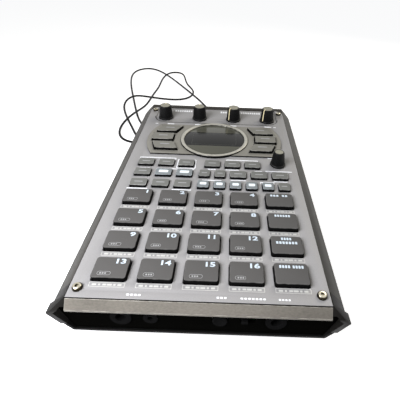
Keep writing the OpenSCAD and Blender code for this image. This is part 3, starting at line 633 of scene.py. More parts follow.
# %% [markdown]
# A pad is one rubber moulding: a cap that stands out of its opening, a wider flange that keeps it
# in, and a stem that presses the sensor below. All of that is one loft. Its outline, its height and
# its flange are read from the measured solid, so the soft copy can never drift from it.

# %% Caps of pads and keys
def cap_corners(points):
    low, high = points[points[:, 2] > 0.5].min(0), points[points[:, 2] > 0.5].max(0)
    centre, size = (low + high) / 2, high - low
    return rectangle(centre[:2], size[0], size[1])


def add_cap(shape, points, corners, radius, edge, stem_inset):
    left = min(c[0] for c in corners)
    flange = points[points[:, 0] < left - 0.5]
    reach = left - flange[:, 0].min()
    under, over = flange[:, 2].min(), flange[:, 2].max()
    profile = [(stem_inset, points[:, 2].min()), (stem_inset, under), (-reach, under),
               (-reach, over), (0, over)]
    rounding = edge_profile(points[:, 2].max(), edge)
    rims = range(len(profile) + 1, len(profile) + len(rounding) - 1)
    loft(shape, cap_rings(corners, radius, profile + rounding), rims)


# The near-black side colour is painted shade on the pads' sides; the lighter rim is partly wear and partly a
# painted highlight
rubber = finish("pad_rubber", colour(82, 81, 79), 0.66, side=colour(8, 8, 8), mirror=0.04,
                grain=1500, variation=0.1, bump=0.09, wear_and_highlight_colour=colour(132, 131, 128), wear_and_highlight_amount=0.3)
pad_count = sum(1 for n in frame["nodes"] if n.startswith("pad_") and n[4:].isdigit())
function_count = sum(1 for n in frame["nodes"] if n.startswith("function_pad_"))
pad_nodes = [f"pad_{i + 1}" for i in range(pad_count)]
function_nodes = [f"function_pad_{i + 1}" for i in range(function_count)]
pad_middles = {}
for node in pad_nodes + function_nodes:
    points = solids(node)[0]
    corners = cap_corners(points)
    pad_middles[node] = (*middle(np.array(corners)), points[:, 2].max())
    shape = bmesh.new()
    add_cap(shape, points, corners, 1.8, 0.6, 2.6)
    stand_in(node, "cap", shape, rubber)
print("pads", len(pad_middles))

# %% [markdown]
# Every numbered pad carries its figures at the rear right and a small capsule at the front left.
# The four pads on the right carry a word instead, drawn here as bars of the words' lengths. The
# print rides on the pad's own body, so it goes down with the pad.

# %% Print on the pads
FUNCTION_BARS = (
    ((-3.6, 5.1, 7.2), (4.6, 5.1, 5.0)),
    ((0, 5.1, 12.0),),
    ((0, 5.4, 7.5), (0, 1.8, 15.0)),
    ((-3.9, 5.1, 7.4), (4.6, 5.1, 7.4)),
)


def print_capsule(shape, number, x, y, top):
    width = 8.2 if number % 2 else 6.6
    add_frame(shape, (x - 7.2 + width / 2, y - 4.7), (width, 2.8), top, 1.2, 0.22)
    for k in range(3):
        add_bar(shape, (x - 5.2 + 1.5 * k, y - 4.7), (1, 1.1), top, 0.2)


for number, node in enumerate(pad_nodes, 1):
    shape = bmesh.new()
    x, y, top = pad_middles[node]
    add_figures(shape, str(number), (x + 8.6, y + 6.6), 3.5, top, 1.5)
    ride_on(node, "print", shape, pad_ink)
    shape = bmesh.new()
    print_capsule(shape, number, x, y, top)
    ride_on(node, "capsule", shape, dim_ink)
for node, bars in zip(function_nodes, FUNCTION_BARS):
    x, y, top = pad_middles[node]
    shape = bmesh.new()
    for across, along, width in bars:
        add_word(shape, (x + across, y + along), width, 2.3, top)
    ride_on(node, "print", shape, pad_ink)
print("print on", len(pad_nodes) + len(function_nodes), "pads")

# %% [markdown]
# The small keys are hard plastic with a light shining through some of them. Lit and unlit keys of a
# row belong to one measured node, so each row is made as two meshes that ride together, one in the
# plain finish and one in a finish that also gives off a little light at its top.

# %% Small keys
# Near-black side colours paint shade on the keys' sides; the light rims are partly wear and partly a painted
# highlight
key_plastic = finish("key_plastic", colour(106, 107, 103), 0.45, side=colour(9, 9, 9), mirror=0.06,
                     grain=1300, bump=0.05, wear_and_highlight_colour=colour(206, 206, 202), wear_and_highlight_amount=0.5)
key_lit = finish("key_lit", colour(116, 121, 122), 0.5, side=colour(10, 10, 11), mirror=0.06,
                 grain=1300, bump=0.04, wear_and_highlight_colour=colour(222, 232, 238), wear_and_highlight_amount=0.4, glow=0.04)
key_window = finish("key_window", colour(206, 216, 220), 0.5, grain=1300, bump=0.03, glow=0.12)
window_share, window_depth = 0.58, 3.6
mark_share, mark_depth = 0.5, 1.1
LIT = {"keys_row_1": (0, 1, 2, 3, 4), "keys_left": (4, 5)}
key_places = {}
for node, found in keys_found.items():
    order = sorted(found, key=lambda p: (round(middle(p)[1]), middle(p)[0]))
    key_places[node] = [middle(np.array(cap_corners(p))) for p in order]
    lit_ones = LIT.get(node, ())
    for title, chosen, material in (("", set(range(len(order))) - set(lit_ones), key_plastic),
                                    ("_lit", set(lit_ones), key_lit)):
        if not chosen:
            continue
        shape = bmesh.new()
        for index in sorted(chosen):
            add_cap(shape, order[index], cap_corners(order[index]), 1.2, 0.4, 3.2)
        as_piece(node + "_caps" + title, shape, node_body[node], material, stands_for=(node,))
    shape, windows = bmesh.new(), bmesh.new()
    for index, ((x, y), points) in enumerate(zip(key_places[node], order)):
        across = points[points[:, 2] > 0.5][:, 0]
        wide, top = across.max() - across.min(), points[:, 2].max()
        if index in lit_ones:
            add_bar(windows, (x, y + 0.5), (window_share * wide, window_depth), top, 1.0)
        else:
            add_bar(shape, (x, y + 0.2), (mark_share * wide, mark_depth), top, 0.4)
    ride_on(node, "print", shape, dim_ink)
    if lit_ones:
        ride_on(node, "windows", windows, key_window)
print("key places", {n: len(p) for n, p in key_places.items()})

# %% [markdown]
# The six keys beside the display are slanted to follow its ring. Their outline is not a rectangle,
# so the corners are taken from the measured solid, sorted around its middle.

# %% Display keys
def slanted_corners(points):
    top = points[:, 2].max()
    level = points[(points[:, 2] < top - 0.2) & (points[:, 2] > top - 1)]
    spots = np.unique(np.round(level[:, :2], 2), axis=0)
    centre = spots.mean(0)
    turned_by = np.arctan2(spots[:, 1] - centre[1], spots[:, 0] - centre[0])
    return [tuple(p) for p in spots[np.argsort(turned_by)]]


# The near-black side colour is painted shade on the keys' front and side faces; the light rims are partly wear and
# partly a painted highlight
key_silver = finish("display_key", colour(118, 117, 110), 0.42, side=colour(9, 9, 8), grain=1300,
                    metal=0.1, mirror=0.06, bump=0.05, wear_and_highlight_colour=colour(206, 204, 196), wear_and_highlight_amount=0.5)
for node in ("display_keys_left", "display_keys_right"):
    shape = bmesh.new()
    marks = bmesh.new()
    for points in solids(node):
        corners = slanted_corners(points)
        add_cap(shape, points, corners, 1.0, 0.35, 4.2)
        x, y = middle(np.array(corners))
        add_bar(marks, (x, y + 1.2), (9, 1.5), points[:, 2].max(), 0.5)
    stand_in(node, "caps", shape, key_silver)
    ride_on(node, "print", marks, dim_ink)

# %% [markdown]
# Round parts come off a lathe or out of a round mould, and a turned shape is their plain
# description: a list of radii and heights, carried once round. The display's ring, its window, the
# knobs, the plug and the bolts all use it.

# %% Turned shapes
def turned(shape, profile, centre=(0, 0), steps=72, rims=(), closed=True):
    rings = []
    for radius, height in profile:
        rings.append([(p.x, p.y, height) for p in circle_outline(radius, centre, steps)])
    loft(shape, rings, rims, closed)


# Near-black side colours paint shade on the outer walls of the surround and ring; the ring's lighter rims are
# partly wear and partly a painted highlight
surround_paint = finish("surround_paint", colour(124, 122, 114), 0.42, side=colour(12, 12, 11),
                        metal=0.12, mirror=0.15, grain=1400, variation=0.08, bump=0.05, wear_and_highlight_amount=0.0)
bezel_metal = finish("bezel_metal", colour(160, 158, 148), 0.32, side=colour(14, 14, 13), metal=0.5,
                     mirror=0.2, grain=1600, stretch=6, variation=0.1, bump=0.04, wear_and_highlight_amount=0.3)
softened("display_surround", 0.3, surround_paint)
ring = node_points("display_bezel") - deck_origin
ring_middle = middle(ring)
ring_radii = np.hypot(*(ring[:, :2] - ring_middle[:2]).T)
outer, inner, ring_top = ring_radii.max(), ring_radii.min(), ring[:, 2].max()
profile = [(outer, 0), (outer, ring_top - 0.6), (outer - 0.15, ring_top - 0.25),
           (outer - 0.5, ring_top - 0.05), (outer - 1.0, ring_top), (inner + 1.2, ring_top),
           (inner + 0.7, ring_top - 0.08), (inner + 0.25, ring_top - 0.4), (inner, ring_top - 0.9),
           (inner, 0)]
shape = bmesh.new()
turned(shape, profile, ring_middle[:2], 128, range(2, 8), closed=False)
as_piece("display_ring", shape, node_body["display_bezel"], bezel_metal,
         stands_for=("display_bezel",), smooth=50)
print("display ring radius", round(float(outer), 1), "mm")

# %% [markdown]
# The window is smoked plastic over a grey mask with a dark screen band in it. One disc carries all
# of that: its shader measures how far a point lies from the window's middle, along the deck, and
# picks the mask's grey or the screen's near black. A low specular level keeps the pale surroundings
# from washing the screen out.

# %% Window
window = node_points("display_lens") - deck_origin
window_middle = middle(window)
window_radius = (window[:, 0].max() - window[:, 0].min()) / 2
screen_half = 13.5


def make_window_finish():
    made = finish("smoked_window", colour(76, 76, 67), 0.14, grain=400, variation=0.1, bump=0.0)
    tree = made.node_tree
    shader = tree.nodes["Principled BSDF"]
    place = add_node(tree, "ShaderNodeTexCoord")
    along = add_node(tree, "ShaderNodeVectorMath", {
        1: AXES["along"], 0: place.outputs["Object"]}, operation="DOT_PRODUCT")
    near = add_node(tree, "ShaderNodeMath", {
        1: (window_middle[1] + deck_origin[1]) / 1000, 2: screen_half / 1000,
        0: along.outputs["Value"]}, operation="COMPARE")
    pick = add_node(tree, "ShaderNodeMix", {
        7: colour(26, 26, 25), "Factor": near.outputs[0],
        6: shader.inputs["Base Color"].links[0].from_socket}, data_type="RGBA")
    join(tree, pick.outputs[2], shader.inputs["Base Color"])
    shader.inputs["Specular IOR Level"].default_value = 0.16
    return made


window_finish = make_window_finish()
shape = bmesh.new()
rise = window[:, 2].max()
turned(shape, [(window_radius, 0), (window_radius, rise - 0.3), (window_radius - 0.1, rise - 0.1),
               (window_radius - 0.35, rise)], window_middle[:2], 128)
as_piece("display_window", shape, node_body["display_lens"], window_finish,
         stands_for=("display_lens",))
shape = bmesh.new()
screen_size = (2 * (window_radius - 8), 2 * screen_half - 5)
add_frame(shape, window_middle[:2], screen_size, rise - 0.02, 0.6, 0.18)
screen_line = finish("screen_line", colour(70, 72, 68), 0.4, grain=900, bump=0.0)
as_piece("display_screen_line", shape, node_body["display_lens"], screen_line)

# %% [markdown]
# Ribs, bolts, feet and label strips repeat, and Geometry Nodes do repeats well: one node tree is a
# rule that can be read, changed and used again. The first tree sets a finished piece on every point
# of a mesh. Instances are only references, so Realize Instances turns them into real faces before
# the result is taken as a plain mesh.

# %% Geometry Nodes: a piece on every place
def end_tree(tree, start, end, source):
    dressed = add_node(tree, "GeometryNodeSetMaterial", {
        "Geometry": source, "Material": start.outputs["Finish"]})
    join(tree, dressed.outputs["Geometry"], end.inputs["Geometry"])


def make_place_tree():
    tree, start, end = new_group(
        "piece_on_places", "Geometry",
        {"Places": "Geometry", "Piece": "Object", "Finish": "Material"}, {"Geometry": "Geometry"})
    look_up = add_node(tree, "GeometryNodeObjectInfo", {"Object": start.outputs["Piece"]})
    spread = add_node(tree, "GeometryNodeInstanceOnPoints", {
        "Points": start.outputs["Places"], "Instance": look_up.outputs["Geometry"]})
    real = add_node(tree, "GeometryNodeRealizeInstances", {"Geometry": spread.outputs["Instances"]})
    end_tree(tree, start, end, real.outputs["Geometry"])
    return tree


def grow(tree, start_mesh, matrix, **settings):
    holder = put("grown", start_mesh)
    modifier = holder.modifiers.new("grow", "NODES")
    modifier.node_group = tree
    for item in tree.interface.items_tree:
        if item.item_type == "SOCKET" and item.in_out == "INPUT" and item.name in settings:
            modifier[item.identifier] = settings[item.name]
    seen = holder.evaluated_get(bpy.context.evaluated_depsgraph_get())
    mesh = bpy.data.meshes.new_from_object(seen)
    holder.modifiers.remove(modifier)
    bpy.data.objects.remove(holder)
    mesh.transform(matrix)
    return mesh


place_tree = make_place_tree()


def set_on_places(name, shape, places, body, material, matrix, stands_for=()):
    spots = bpy.data.meshes.new(name + "_places")
    spots.from_pydata([tuple(p) for p in places], [], [])
    bmesh.ops.recalc_face_normals(shape, faces=shape.faces)
    one = end_shape(name + "_one", shape, 38)
    template = put(name + "_one", one)
    mesh = grow(place_tree, spots, matrix, Piece=template, Finish=material)
    bpy.data.objects.remove(template)
    return place_mesh(name, mesh, body, None, stands_for)


print("tree", place_tree.name, [i.name for i in place_tree.interface.items_tree])

# %% [markdown]
# The faceplate is held by four chrome button-head bolts with hex sockets. One bolt is turned about
# its own axis: a domed head, and inside its rim the socket's six walls go down. The measured solids
# say where the four stand and how large the head is.

# %% Faceplate bolts
# The dark side colour paints shade in the hex sockets and on the lower part of the dome
chrome = finish("bolt_chrome", colour(206, 200, 180), 0.18, side=colour(50, 46, 36), metal=1.0,
                grain=800, variation=0.1, bump=0.02, wear_and_highlight_amount=0.0)
bolts = solids("faceplate_bolts")
bolt_low, bolt_high = bolts[0].min(0), bolts[0].max(0)
head = (bolt_high[0] - bolt_low[0]) / 2
rise = bolt_high[2]
bore = 1.15


def bolt_shape():
    shape = bmesh.new()
    dome = [(1.5, bolt_low[2]), (1.5, 0.02), (head, 0.02), (head, 0.45)]
    dome += [(bore + 0.45 + (head - bore - 0.45) * math.cos(a), 0.45 + (rise - 0.45) * math.sin(a))
             for a in (0.35, 0.7, 1.05, 1.35, 1.57)]
    rings = [[(p.x, p.y, h) for p in circle_outline(r, steps=48)] for r, h in dome]
    for height, grown in ((rise, 0.12), (rise - 0.15, 0), (rise - 1.2, 0)):
        ring = []
        for k in range(48):
            angle = 2 * math.pi * k / 48
            flat = bore * math.cos(math.pi / 6) / math.cos((angle % (math.pi / 3)) - math.pi / 6)
            ring.append(((flat + grown) * math.cos(angle), (flat + grown) * math.sin(angle), height))
        rings.append(ring)
    loft(shape, rings)
    return shape


bolt_middles = [(*middle(b)[:2], 0) for b in bolts]
set_on_places("bolts", bolt_shape(), bolt_middles, node_body["faceplate_bolts"], chrome, to_place,
              ("faceplate_bolts",))
print("bolts at", [tuple(round(float(v), 1) for v in p) for p in bolt_middles])

# %% [markdown]
# A knob is a turned cap with fine grips around it. The second tree draws the grips: it puts a
# straight line on each of a number of points, turns each line by its share of the circle, and
# sweeps a small round profile along it.

# %% Geometry Nodes: grips around a knob
def make_grip_tree():
    tree, start, end = new_group(
        "grips_around_knob", "Geometry",
        {"Count": "Int", "Foot": "Vector", "Top": "Vector", "Width": "Float", "Finish": "Material"},
        {"Geometry": "Geometry"})
    spots = add_node(tree, "GeometryNodePoints", {"Count": start.outputs["Count"]})
    line = add_node(tree, "GeometryNodeCurvePrimitiveLine", {
        "Start": start.outputs["Foot"], "End": start.outputs["Top"]})
    index = add_node(tree, "GeometryNodeInputIndex")
    share = add_node(tree, "ShaderNodeMath", {
        0: index.outputs[0], 1: start.outputs["Count"]}, operation="DIVIDE")
    angle = add_node(tree, "ShaderNodeMath", {
        0: share.outputs[0], 1: 2 * math.pi}, operation="MULTIPLY")
    turn_z = add_node(tree, "ShaderNodeCombineXYZ", {"Z": angle.outputs[0]})
    spread = add_node(tree, "GeometryNodeInstanceOnPoints", {
        "Points": spots.outputs[0], "Instance": line.outputs[0], "Rotation": turn_z.outputs[0]})
    real = add_node(tree, "GeometryNodeRealizeInstances", {0: spread.outputs[0]})
    ring = add_node(tree, "GeometryNodeCurvePrimitiveCircle", {
        "Resolution": 8, "Radius": start.outputs["Width"]})
    sweep = add_node(tree, "GeometryNodeCurveToMesh", {
        "Fill Caps": True, "Curve": real.outputs[0], "Profile Curve": ring.outputs[0]})
    end_tree(tree, start, end, sweep.outputs[0])
    return tree


grip_tree = make_grip_tree()
knob_black = finish("knob_black", colour(12, 12, 12), 0.42, mirror=0.12, grain=1200, bump=0.05,
                    wear_and_highlight_colour=colour(70, 69, 66), wear_and_highlight_amount=0.4)
cap_grey = finish("knob_cap", colour(136, 134, 120), 0.5, grain=1400, bump=0.05, wear_and_highlight_amount=0.2)
pointer_cream = finish("pointer_cream", colour(226, 214, 172), 0.5, grain=1800, bump=0.02)

# %% [markdown]
# Each knob is the same recipe with its own sizes, read from its measured solid: a skirt, a slightly
# tapered barrel with grips, a rounded shoulder and a shallow dished cap in a lighter grey. A cream
# pointer runs down the barrel. The knobs are left as a player leaves them, so their pointers do
# not all look the same way.

# %% Deck knobs
POINTER_TURN = {"knob_1": 90, "knob_2": 90, "knob_3": 226, "knob_4": 226, "value_knob": None}


def make_knob(node, pointer):
    points = solids(node)[0]
    x, y = middle(points)[:2]
    foot, top_level = (points[:, 0].max() - points[:, 0].min()) / 2, points[:, 2].max()
    skirt = points[np.hypot(points[:, 0] - x, points[:, 1] - y) > foot - 0.05][:, 2]
    base = skirt.min()
    high = points[points[:, 2] > top_level - 0.8]
    barrel = (high[:, 0].max() - high[:, 0].min()) / 2
    profile = [(3, points[:, 2].min()), (3, base), (foot - 0.3, base), (foot, base + 0.3),
               (foot, base + 1.3), (foot - 0.3, base + 1.7), (foot - 0.9, base + 1.9),
               (barrel - 0.25, top_level - 0.9), (barrel - 0.45, top_level - 0.35),
               (barrel - 0.85, top_level - 0.05), (barrel - 1.2, top_level),
               (barrel - 1.4, top_level - 0.25)]
    shape = bmesh.new()
    turned(shape, profile, (x, y), 72, (5, 9, 10))
    stand_in(node, "barrel", shape, knob_black)
    shape = bmesh.new()
    dish = [(barrel - 1.35, top_level - 0.3), (barrel - 1.35, top_level - 0.12),
            (barrel - 1.7, top_level - 0.02), ((barrel - 1.7) / 2, top_level - 0.14),
            (0.3, top_level - 0.18)]
    turned(shape, dish, (x, y), 48)
    ride_on(node, "cap", shape, cap_grey)
    place = to_place @ Matrix.Translation((x, y, 0))
    grips = grow(grip_tree, bpy.data.meshes.new(node + "_grips"), place, Count=28, Width=0.24,
                 Foot=(foot - 0.95, 0, base + 2.0), Top=(barrel - 0.3, 0, top_level - 1.0),
                 Finish=knob_black)
    place_mesh(node + "_grips", grips, node_body[node], None)
    if pointer is None:
        return
    shape = bmesh.new()
    wide = 0.55
    side_line = [(foot - 0.75, base + 2.0), (barrel + 0.05, top_level - 1.0),
                 (barrel - 0.3, top_level - 0.2), (barrel - 1.0, top_level + 0.12),
                 (barrel - 2.6, top_level + 0.1)]
    rings = []
    for radius, height in side_line:
        rings.append([(radius, -wide, height), (radius, wide, height),
                      (radius - 0.5, wide, height - 0.3), (radius - 0.5, -wide, height - 0.3)])
    loft(shape, rings)
    spin = place @ Matrix.Rotation(math.radians(pointer), 4, "Z")
    ride_on(node, "pointer", shape, pointer_cream, spin)


for node, pointer in POINTER_TURN.items():
    make_knob(node, pointer)
print("knobs", list(POINTER_TURN))

# %% [markdown]
# Under each pad is a label strip: a thin frame with a row of short marks. All twenty strips are the
# same print, so one strip is set on twenty places in front of the pads.

# %% Label strips
strip_back = 10.6
strip = bmesh.new()
add_frame(strip, (0, 0), (21.6, 3.3), 0, 0.3, 0.32)
for k, width in enumerate((2.6, 1.2, 2.2, 3.0, 1.4, 2.4)):
    add_bar(strip, (-7.6 + 3.05 * k, 0), (width, 1.3), 0, 0.2)
strip_places = [(x, y - strip_back, 0) for x, y, top in pad_middles.values()]
set_on_places("label_strips", strip, strip_places, node_body["faceplate"], strip_ink, to_place)
print("strips", len(strip_places))

# %% [markdown]
# The rest of the plate's print belongs to the keys, knobs and sockets, so it is placed from them:
# a line over a group of keys, a frame around the one that stands out, a short bar at each knob and
# socket. The plate's print is one thin mesh.

# %% Print on the faceplate
def mark_over(shape, places, first, last, rise=8.4, extra=7.4, tail=False):
    left, right = places[first][0] - extra, places[last][0] + extra
    y = places[first][1] + rise
    add_bar(shape, ((left + right) / 2, y), (right - left, 1.2), 0, 0.2)
    if tail:
        add_bar(shape, (left + 0.35, y - 1.4), (0.7, 2.2), 0, 0.2)
        add_bar(shape, (right - 0.35, y - 1.4), (0.7, 2.2), 0, 0.2)


plate_print = bmesh.new()
left_keys = key_places["keys_left"]
row_1, row_2, row_3 = (key_places[n] for n in ("keys_row_1", "keys_row_2", "keys_row_3"))
add_frame(plate_print, (left_keys[8][0], left_keys[8][1] + 0.3), (17.4, 14.8), 0, 1, 0.9)
# For each line: the keys it belongs to, its first and last key, how far behind them
# it lies (below zero is in front), how far past them it reaches, and whether its ends turn forward
KEY_LINES = (
    (left_keys, 6, 7, 9.4, 7.8, True), (left_keys, 3, 3, 7.6, 4.6), (left_keys, 4, 5, 7.4, 7.6),
    (left_keys, 0, 0, -6.7, 8.6), (left_keys, 2, 2, -6.7, 8), (row_1, 4, 4, 7.6, 6.2, True),
    (row_1, 0, 1, 7.9, 1.5), (row_2, 2, 2, -6.8, 6.6), (row_2, 4, 4, -6.8, 6),
    (row_2, 4, 4, 8.8, 12), (row_2, 3, 3, 8, 3.4), (row_3, 0, 0, -7, 3.6), (row_3, 1, 1, -7, 6),
    (row_3, 1, 2, 9.4, 5.6, True),
)
for line in KEY_LINES:
    mark_over(plate_print, *line)
knob_places = [middle(solids(f"knob_{i}")[0]) for i in (1, 2, 3, 4)]
for x, y in ((p[0], p[1]) for p in knob_places):
    add_bar(plate_print, (x + (8 if x < -30 else 0), y - 17), (7.5, 1.9), 0, 0.5)
for side in (-1, 1):
    add_bar(plate_print, (side * 65, knob_places[0][1] - 17.2), (3, 1.6), 0, 0.5)
value_place = middle(solids("value_knob")[0])
add_bar(plate_print, (value_place[0] - 5.6, value_place[1] + 11), (5.4, 1.7), 0, 0.5)
front_sockets = sorted(middle(p)[0] for p in solids("quarter_inch_jacks") if middle(p)[1] < 50)
gain_place = middle(solids("gain_knob")[0])
for x, width in ((front_sockets[0] + 9, 9), (gain_place[0] + 0.5, 6.5), (front_sockets[1] - 15, 15.5),
                 (front_sockets[1] + 3.5, 7.5)):
    add_word(plate_print, (x, -3.6), width, 1.2, 0)
as_piece("plate_print", plate_print, node_body["faceplate"], ink)

# %% [markdown]
# The rear knobs stand in a shallow tray. Its front edge gets a thin dark line of painted shade,
# straight in the middle and curved back at both ends, and a row of short bars runs across the
# tray's floor.

# %% Painted shade line at the tray, and tray print
tray_half, tray_start, tray_round = 69, 220, 14
tray_floor = -1.0
line_near, line_far = 0.2, 1.1
quarter = [k * math.pi / 20 for k in range(11)]
corner = [(tray_half - tray_round + tray_round * math.sin(a),
           tray_start + tray_round - tray_round * math.cos(a)) for a in quarter]
outline = [Vector((-x, y)) for x, y in reversed(corner)] + [Vector(p) for p in corner]
tray_centre = Vector((0, tray_start + 18))
rings = []
for point in outline:
    curved = abs(point.x) > tray_half - 13
    out = (point - tray_centre) / (point - tray_centre).length if curved else Vector((0, -1))
    near, far = point + out * line_near, point + out * line_far
    rings.append([(near.x, near.y, 0), (far.x, far.y, 0),
                  (far.x, far.y, ink_depth), (near.x, near.y, ink_depth)])
tray_line = bmesh.new()
loft(tray_line, rings)
# The dark line is painted shade along the tray's front edge
tray_edge_shade_finish = finish("tray_edge_shade", colour(34, 33, 29), 0.6, mirror=0.1, grain=1500, bump=0.03)
as_piece("tray_line", tray_line, node_body["faceplate"], tray_edge_shade_finish)
tray_print = bmesh.new()
mark_pitch, mark_size = 2.6, (2.0, 4.4)
mark_y = knob_places[0][1] + 19
for centre, width in ((-39.5, 21), (8, 8), (40, 24)):
    for k in range(int(width // mark_pitch)):
        mark_x = centre - width / 2 + 1.3 + mark_pitch * k
        add_bar(tray_print, (mark_x, mark_y), mark_size, tray_floor, 0.3)
as_piece("tray_print", tray_print, node_body["faceplate"], ink)
print("tray line points", len(outline))

# %% [markdown]
# Sockets, switches and boards keep their measured shapes. Those that show get soft edges, and every
# one gets the finish of its own stock: moulded nylon, tin plate, green or dark laminate, rubber.

# %% Sockets, boards and small parts
nylon = finish("socket_nylon", colour(20, 20, 20), 0.48, mirror=0.0, grain=1300, bump=0.06)
tin = finish("tin_plate", colour(186, 188, 190), 0.3, metal=0.9, grain=1500, stretch=4,
             variation=0.15, bump=0.04)
green = finish("board_green", colour(28, 84, 46), 0.45, grain=700, variation=0.3, bump=0.05)
laminate = finish("board_black", colour(24, 26, 28), 0.45, grain=700, variation=0.25, bump=0.05)
film = finish("sensor_film", colour(120, 98, 52), 0.35, grain=500, variation=0.3, bump=0.03)
steel = finish("screw_steel", colour(96, 96, 98), 0.34, metal=0.9, grain=1500, variation=0.2, bump=0.04)
foot_rubber = finish("foot_rubber", colour(24, 24, 24), 0.85, grain=1900, variation=0.2, bump=0.15)
softened("quarter_inch_jacks", 0.15, nylon)
softened("mini_jacks", 0.12, nylon)
softened("dc_jack", 0.12, nylon)
softened("usb_port", 0.06, tin)
softened("input_switch", 0.25, nylon)
softened("power_switch", 0.25, nylon)
softened("rubber_feet", 0.25, foot_rubber)
adapter = softened("power_adapter", 0.7, black)
for node, material in (("control_pots", tin), ("display_module", laminate), ("key_board", green),
                       ("pad_board", green), ("main_board", green), ("pad_sensor_sheet", film),
                       ("case_screws", steel)):
    for place in frame["nodes"][node].material_slots:
        place.material = material
print("finishes", len(bpy.data.materials))

# %% [markdown]
# The gain knob on the front panel and the plug on the rear are turned too, but about an axis that
# looks forward. The same profiles work there: only the matrix that carries them to their place
# differs. The plug's strain relief gets its ribs from a loop along its taper.

# %% Gain knob and plug
def to_rear(x, y, z):
    lay_down = Matrix(((1, 0, 0, 0), (0, 0, 1, 0), (0, -1, 0, 0), (0, 0, 0, 1)))
    return Matrix.Translation((x / 1000, y / 1000, z / 1000)) @ upright @ lay_down


gain = node_points("gain_knob", turned=False)
gain_low, gain_high = gain.min(0), gain.max(0)
gain_middle = (gain_low + gain_high) / 2
gain_radius = (gain_high[0] - gain_low[0]) / 2
shape = bmesh.new()
turned(shape, [(gain_radius - 1.6, 0.3), (gain_radius - 1.2, 0), (gain_radius - 0.5, 0),
               (gain_radius, 0.5), (gain_radius, 3.4), (2, 3.4), (2, gain_high[1] - gain_low[1])],
       steps=48, rims=(2, 3))
as_piece("gain_knob_barrel", shape, node_body["gain_knob"], nylon,
         to_rear(gain_middle[0], gain_low[1], gain_middle[2]), ("gain_knob",))
plug_points = node_points("dc_plug", turned=False)
plug_low, plug_high = plug_points.min(0), plug_points.max(0)
plug_middle = (plug_low + plug_high) / 2
grip = (plug_high[0] - plug_low[0]) / 2
grip_start = plug_high[1] - 34.4
relief_start = plug_high[1] - 14
profile = [(2.75, plug_low[1]), (2.75, grip_start), (grip - 0.5, grip_start), (grip, grip_start + 0.5)]
for k in range(6):
    along = grip_start + 3 + 2.2 * k
    profile += [(grip, along), (grip - 0.45, along + 0.4), (grip - 0.45, along + 1.1),
                (grip, along + 1.5)]
profile += [(grip, relief_start - 1.2), (grip - 1, relief_start)]
relief_steps = 5
for k in range(relief_steps):
    share = k / relief_steps
    along = relief_start + 14 * share
    radius = (grip - 1) * (1 - share) + 2.1 * share
    profile += [(radius, along + 0.3), (radius - 0.1, along + 1.6), (radius - 0.65, along + 1.7),
                (radius - 0.7, along + 2.5)]
profile += [(2.0, plug_high[1])]
shape = bmesh.new()
turned(shape, [(r, a - plug_low[1]) for r, a in profile], steps=40)
plug = as_piece("dc_plug_body", shape, node_body["dc_plug"], nylon,
                to_rear(plug_middle[0], plug_low[1], plug_middle[2]), ("dc_plug",))
print("plug from", round(float(plug_low[1]), 1), "to", round(float(plug_high[1]), 1))

# %% [markdown]
# The set is a pale floor and soft studio lamps: a large one at the front left, where the plate
# shines, and a warm weak one at the right. The world lights the rest evenly. Only the camera and
# mirror-like surfaces see the background as white.

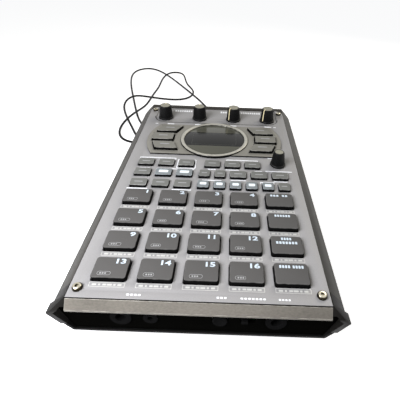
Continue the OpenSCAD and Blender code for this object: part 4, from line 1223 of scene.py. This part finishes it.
# %% Floor, lamps and world
def make_floor():
    shape = bmesh.new()
    bmesh.ops.create_grid(shape, x_segments=1, y_segments=1, size=6)
    mesh = bpy.data.meshes.new("floor")
    shape.to_mesh(mesh)
    shape.free()
    made = put("floor", mesh)
    surface = bpy.data.materials.new("floor")
    surface.use_nodes = True
    tree = surface.node_tree
    tree.nodes.clear()
    out = add_node(tree, "ShaderNodeOutputMaterial")
    matt = add_node(tree, "ShaderNodeBsdfDiffuse", {"Color": (0.82, 0.82, 0.82, 1)})
    bright = add_node(tree, "ShaderNodeEmission", {"Strength": 0.78})
    both = add_node(tree, "ShaderNodeAddShader", {0: matt.outputs[0], 1: bright.outputs[0]})
    ray = add_node(tree, "ShaderNodeLightPath")
    seen = add_node(tree, "ShaderNodeMath", {
        0: ray.outputs["Is Camera Ray"], 1: ray.outputs["Is Glossy Ray"]},
        operation="ADD", use_clamp=True)
    choose = add_node(tree, "ShaderNodeMixShader", {
        "Fac": seen.outputs[0], 1: matt.outputs[0], 2: both.outputs[0]})
    join(tree, choose.outputs[0], out.inputs["Surface"])
    mesh.materials.append(surface)
    return made


def make_lamp(name, place, target, size, watts, tint):
    data = bpy.data.lights.new(name, "AREA")
    data.shape = "DISK"
    data.size = size
    data.energy = watts
    data.color = tint
    made = bpy.data.objects.new(name, data)
    made.location = place
    made.rotation_mode = "QUATERNION"
    made.rotation_quaternion = (Vector(target) - Vector(place)).to_track_quat("-Z", "Y")
    scene.collection.objects.link(made)
    return made


def make_world():
    world = bpy.data.worlds.new("studio")
    world.use_nodes = True
    tree = world.node_tree
    tree.nodes.clear()
    out = add_node(tree, "ShaderNodeOutputWorld")
    soft = add_node(tree, "ShaderNodeBackground", {"Color": (0.95, 0.97, 1, 1), "Strength": 0.22})
    white = add_node(tree, "ShaderNodeBackground", {"Color": (1, 1, 1, 1), "Strength": 1})
    ray = add_node(tree, "ShaderNodeLightPath")
    seen = add_node(tree, "ShaderNodeMath", {
        0: ray.outputs["Is Camera Ray"], 1: ray.outputs["Is Transmission Ray"]}, operation="MAXIMUM")
    every = add_node(tree, "ShaderNodeMath", {
        0: seen.outputs[0], 1: ray.outputs["Is Glossy Ray"]}, operation="MAXIMUM")
    choose = add_node(tree, "ShaderNodeMixShader", {
        "Fac": every.outputs[0], 1: soft.outputs[0], 2: white.outputs[0]})
    join(tree, choose.outputs[0], out.inputs["Surface"])
    scene.world = world


make_floor()
make_world()
deck_middle = to_place @ Vector((0, 125, 0))
deck_front = to_place @ Vector((-20, 30, 0))
make_lamp("key_lamp", (-0.2, -0.24, 0.3), deck_front, 0.3, 3.0, (0.95, 0.95, 1))
make_lamp("warm_lamp", (0.5, 0.5, 0.6), deck_middle, 0.5, 3.0, (1, 0.93, 0.78))
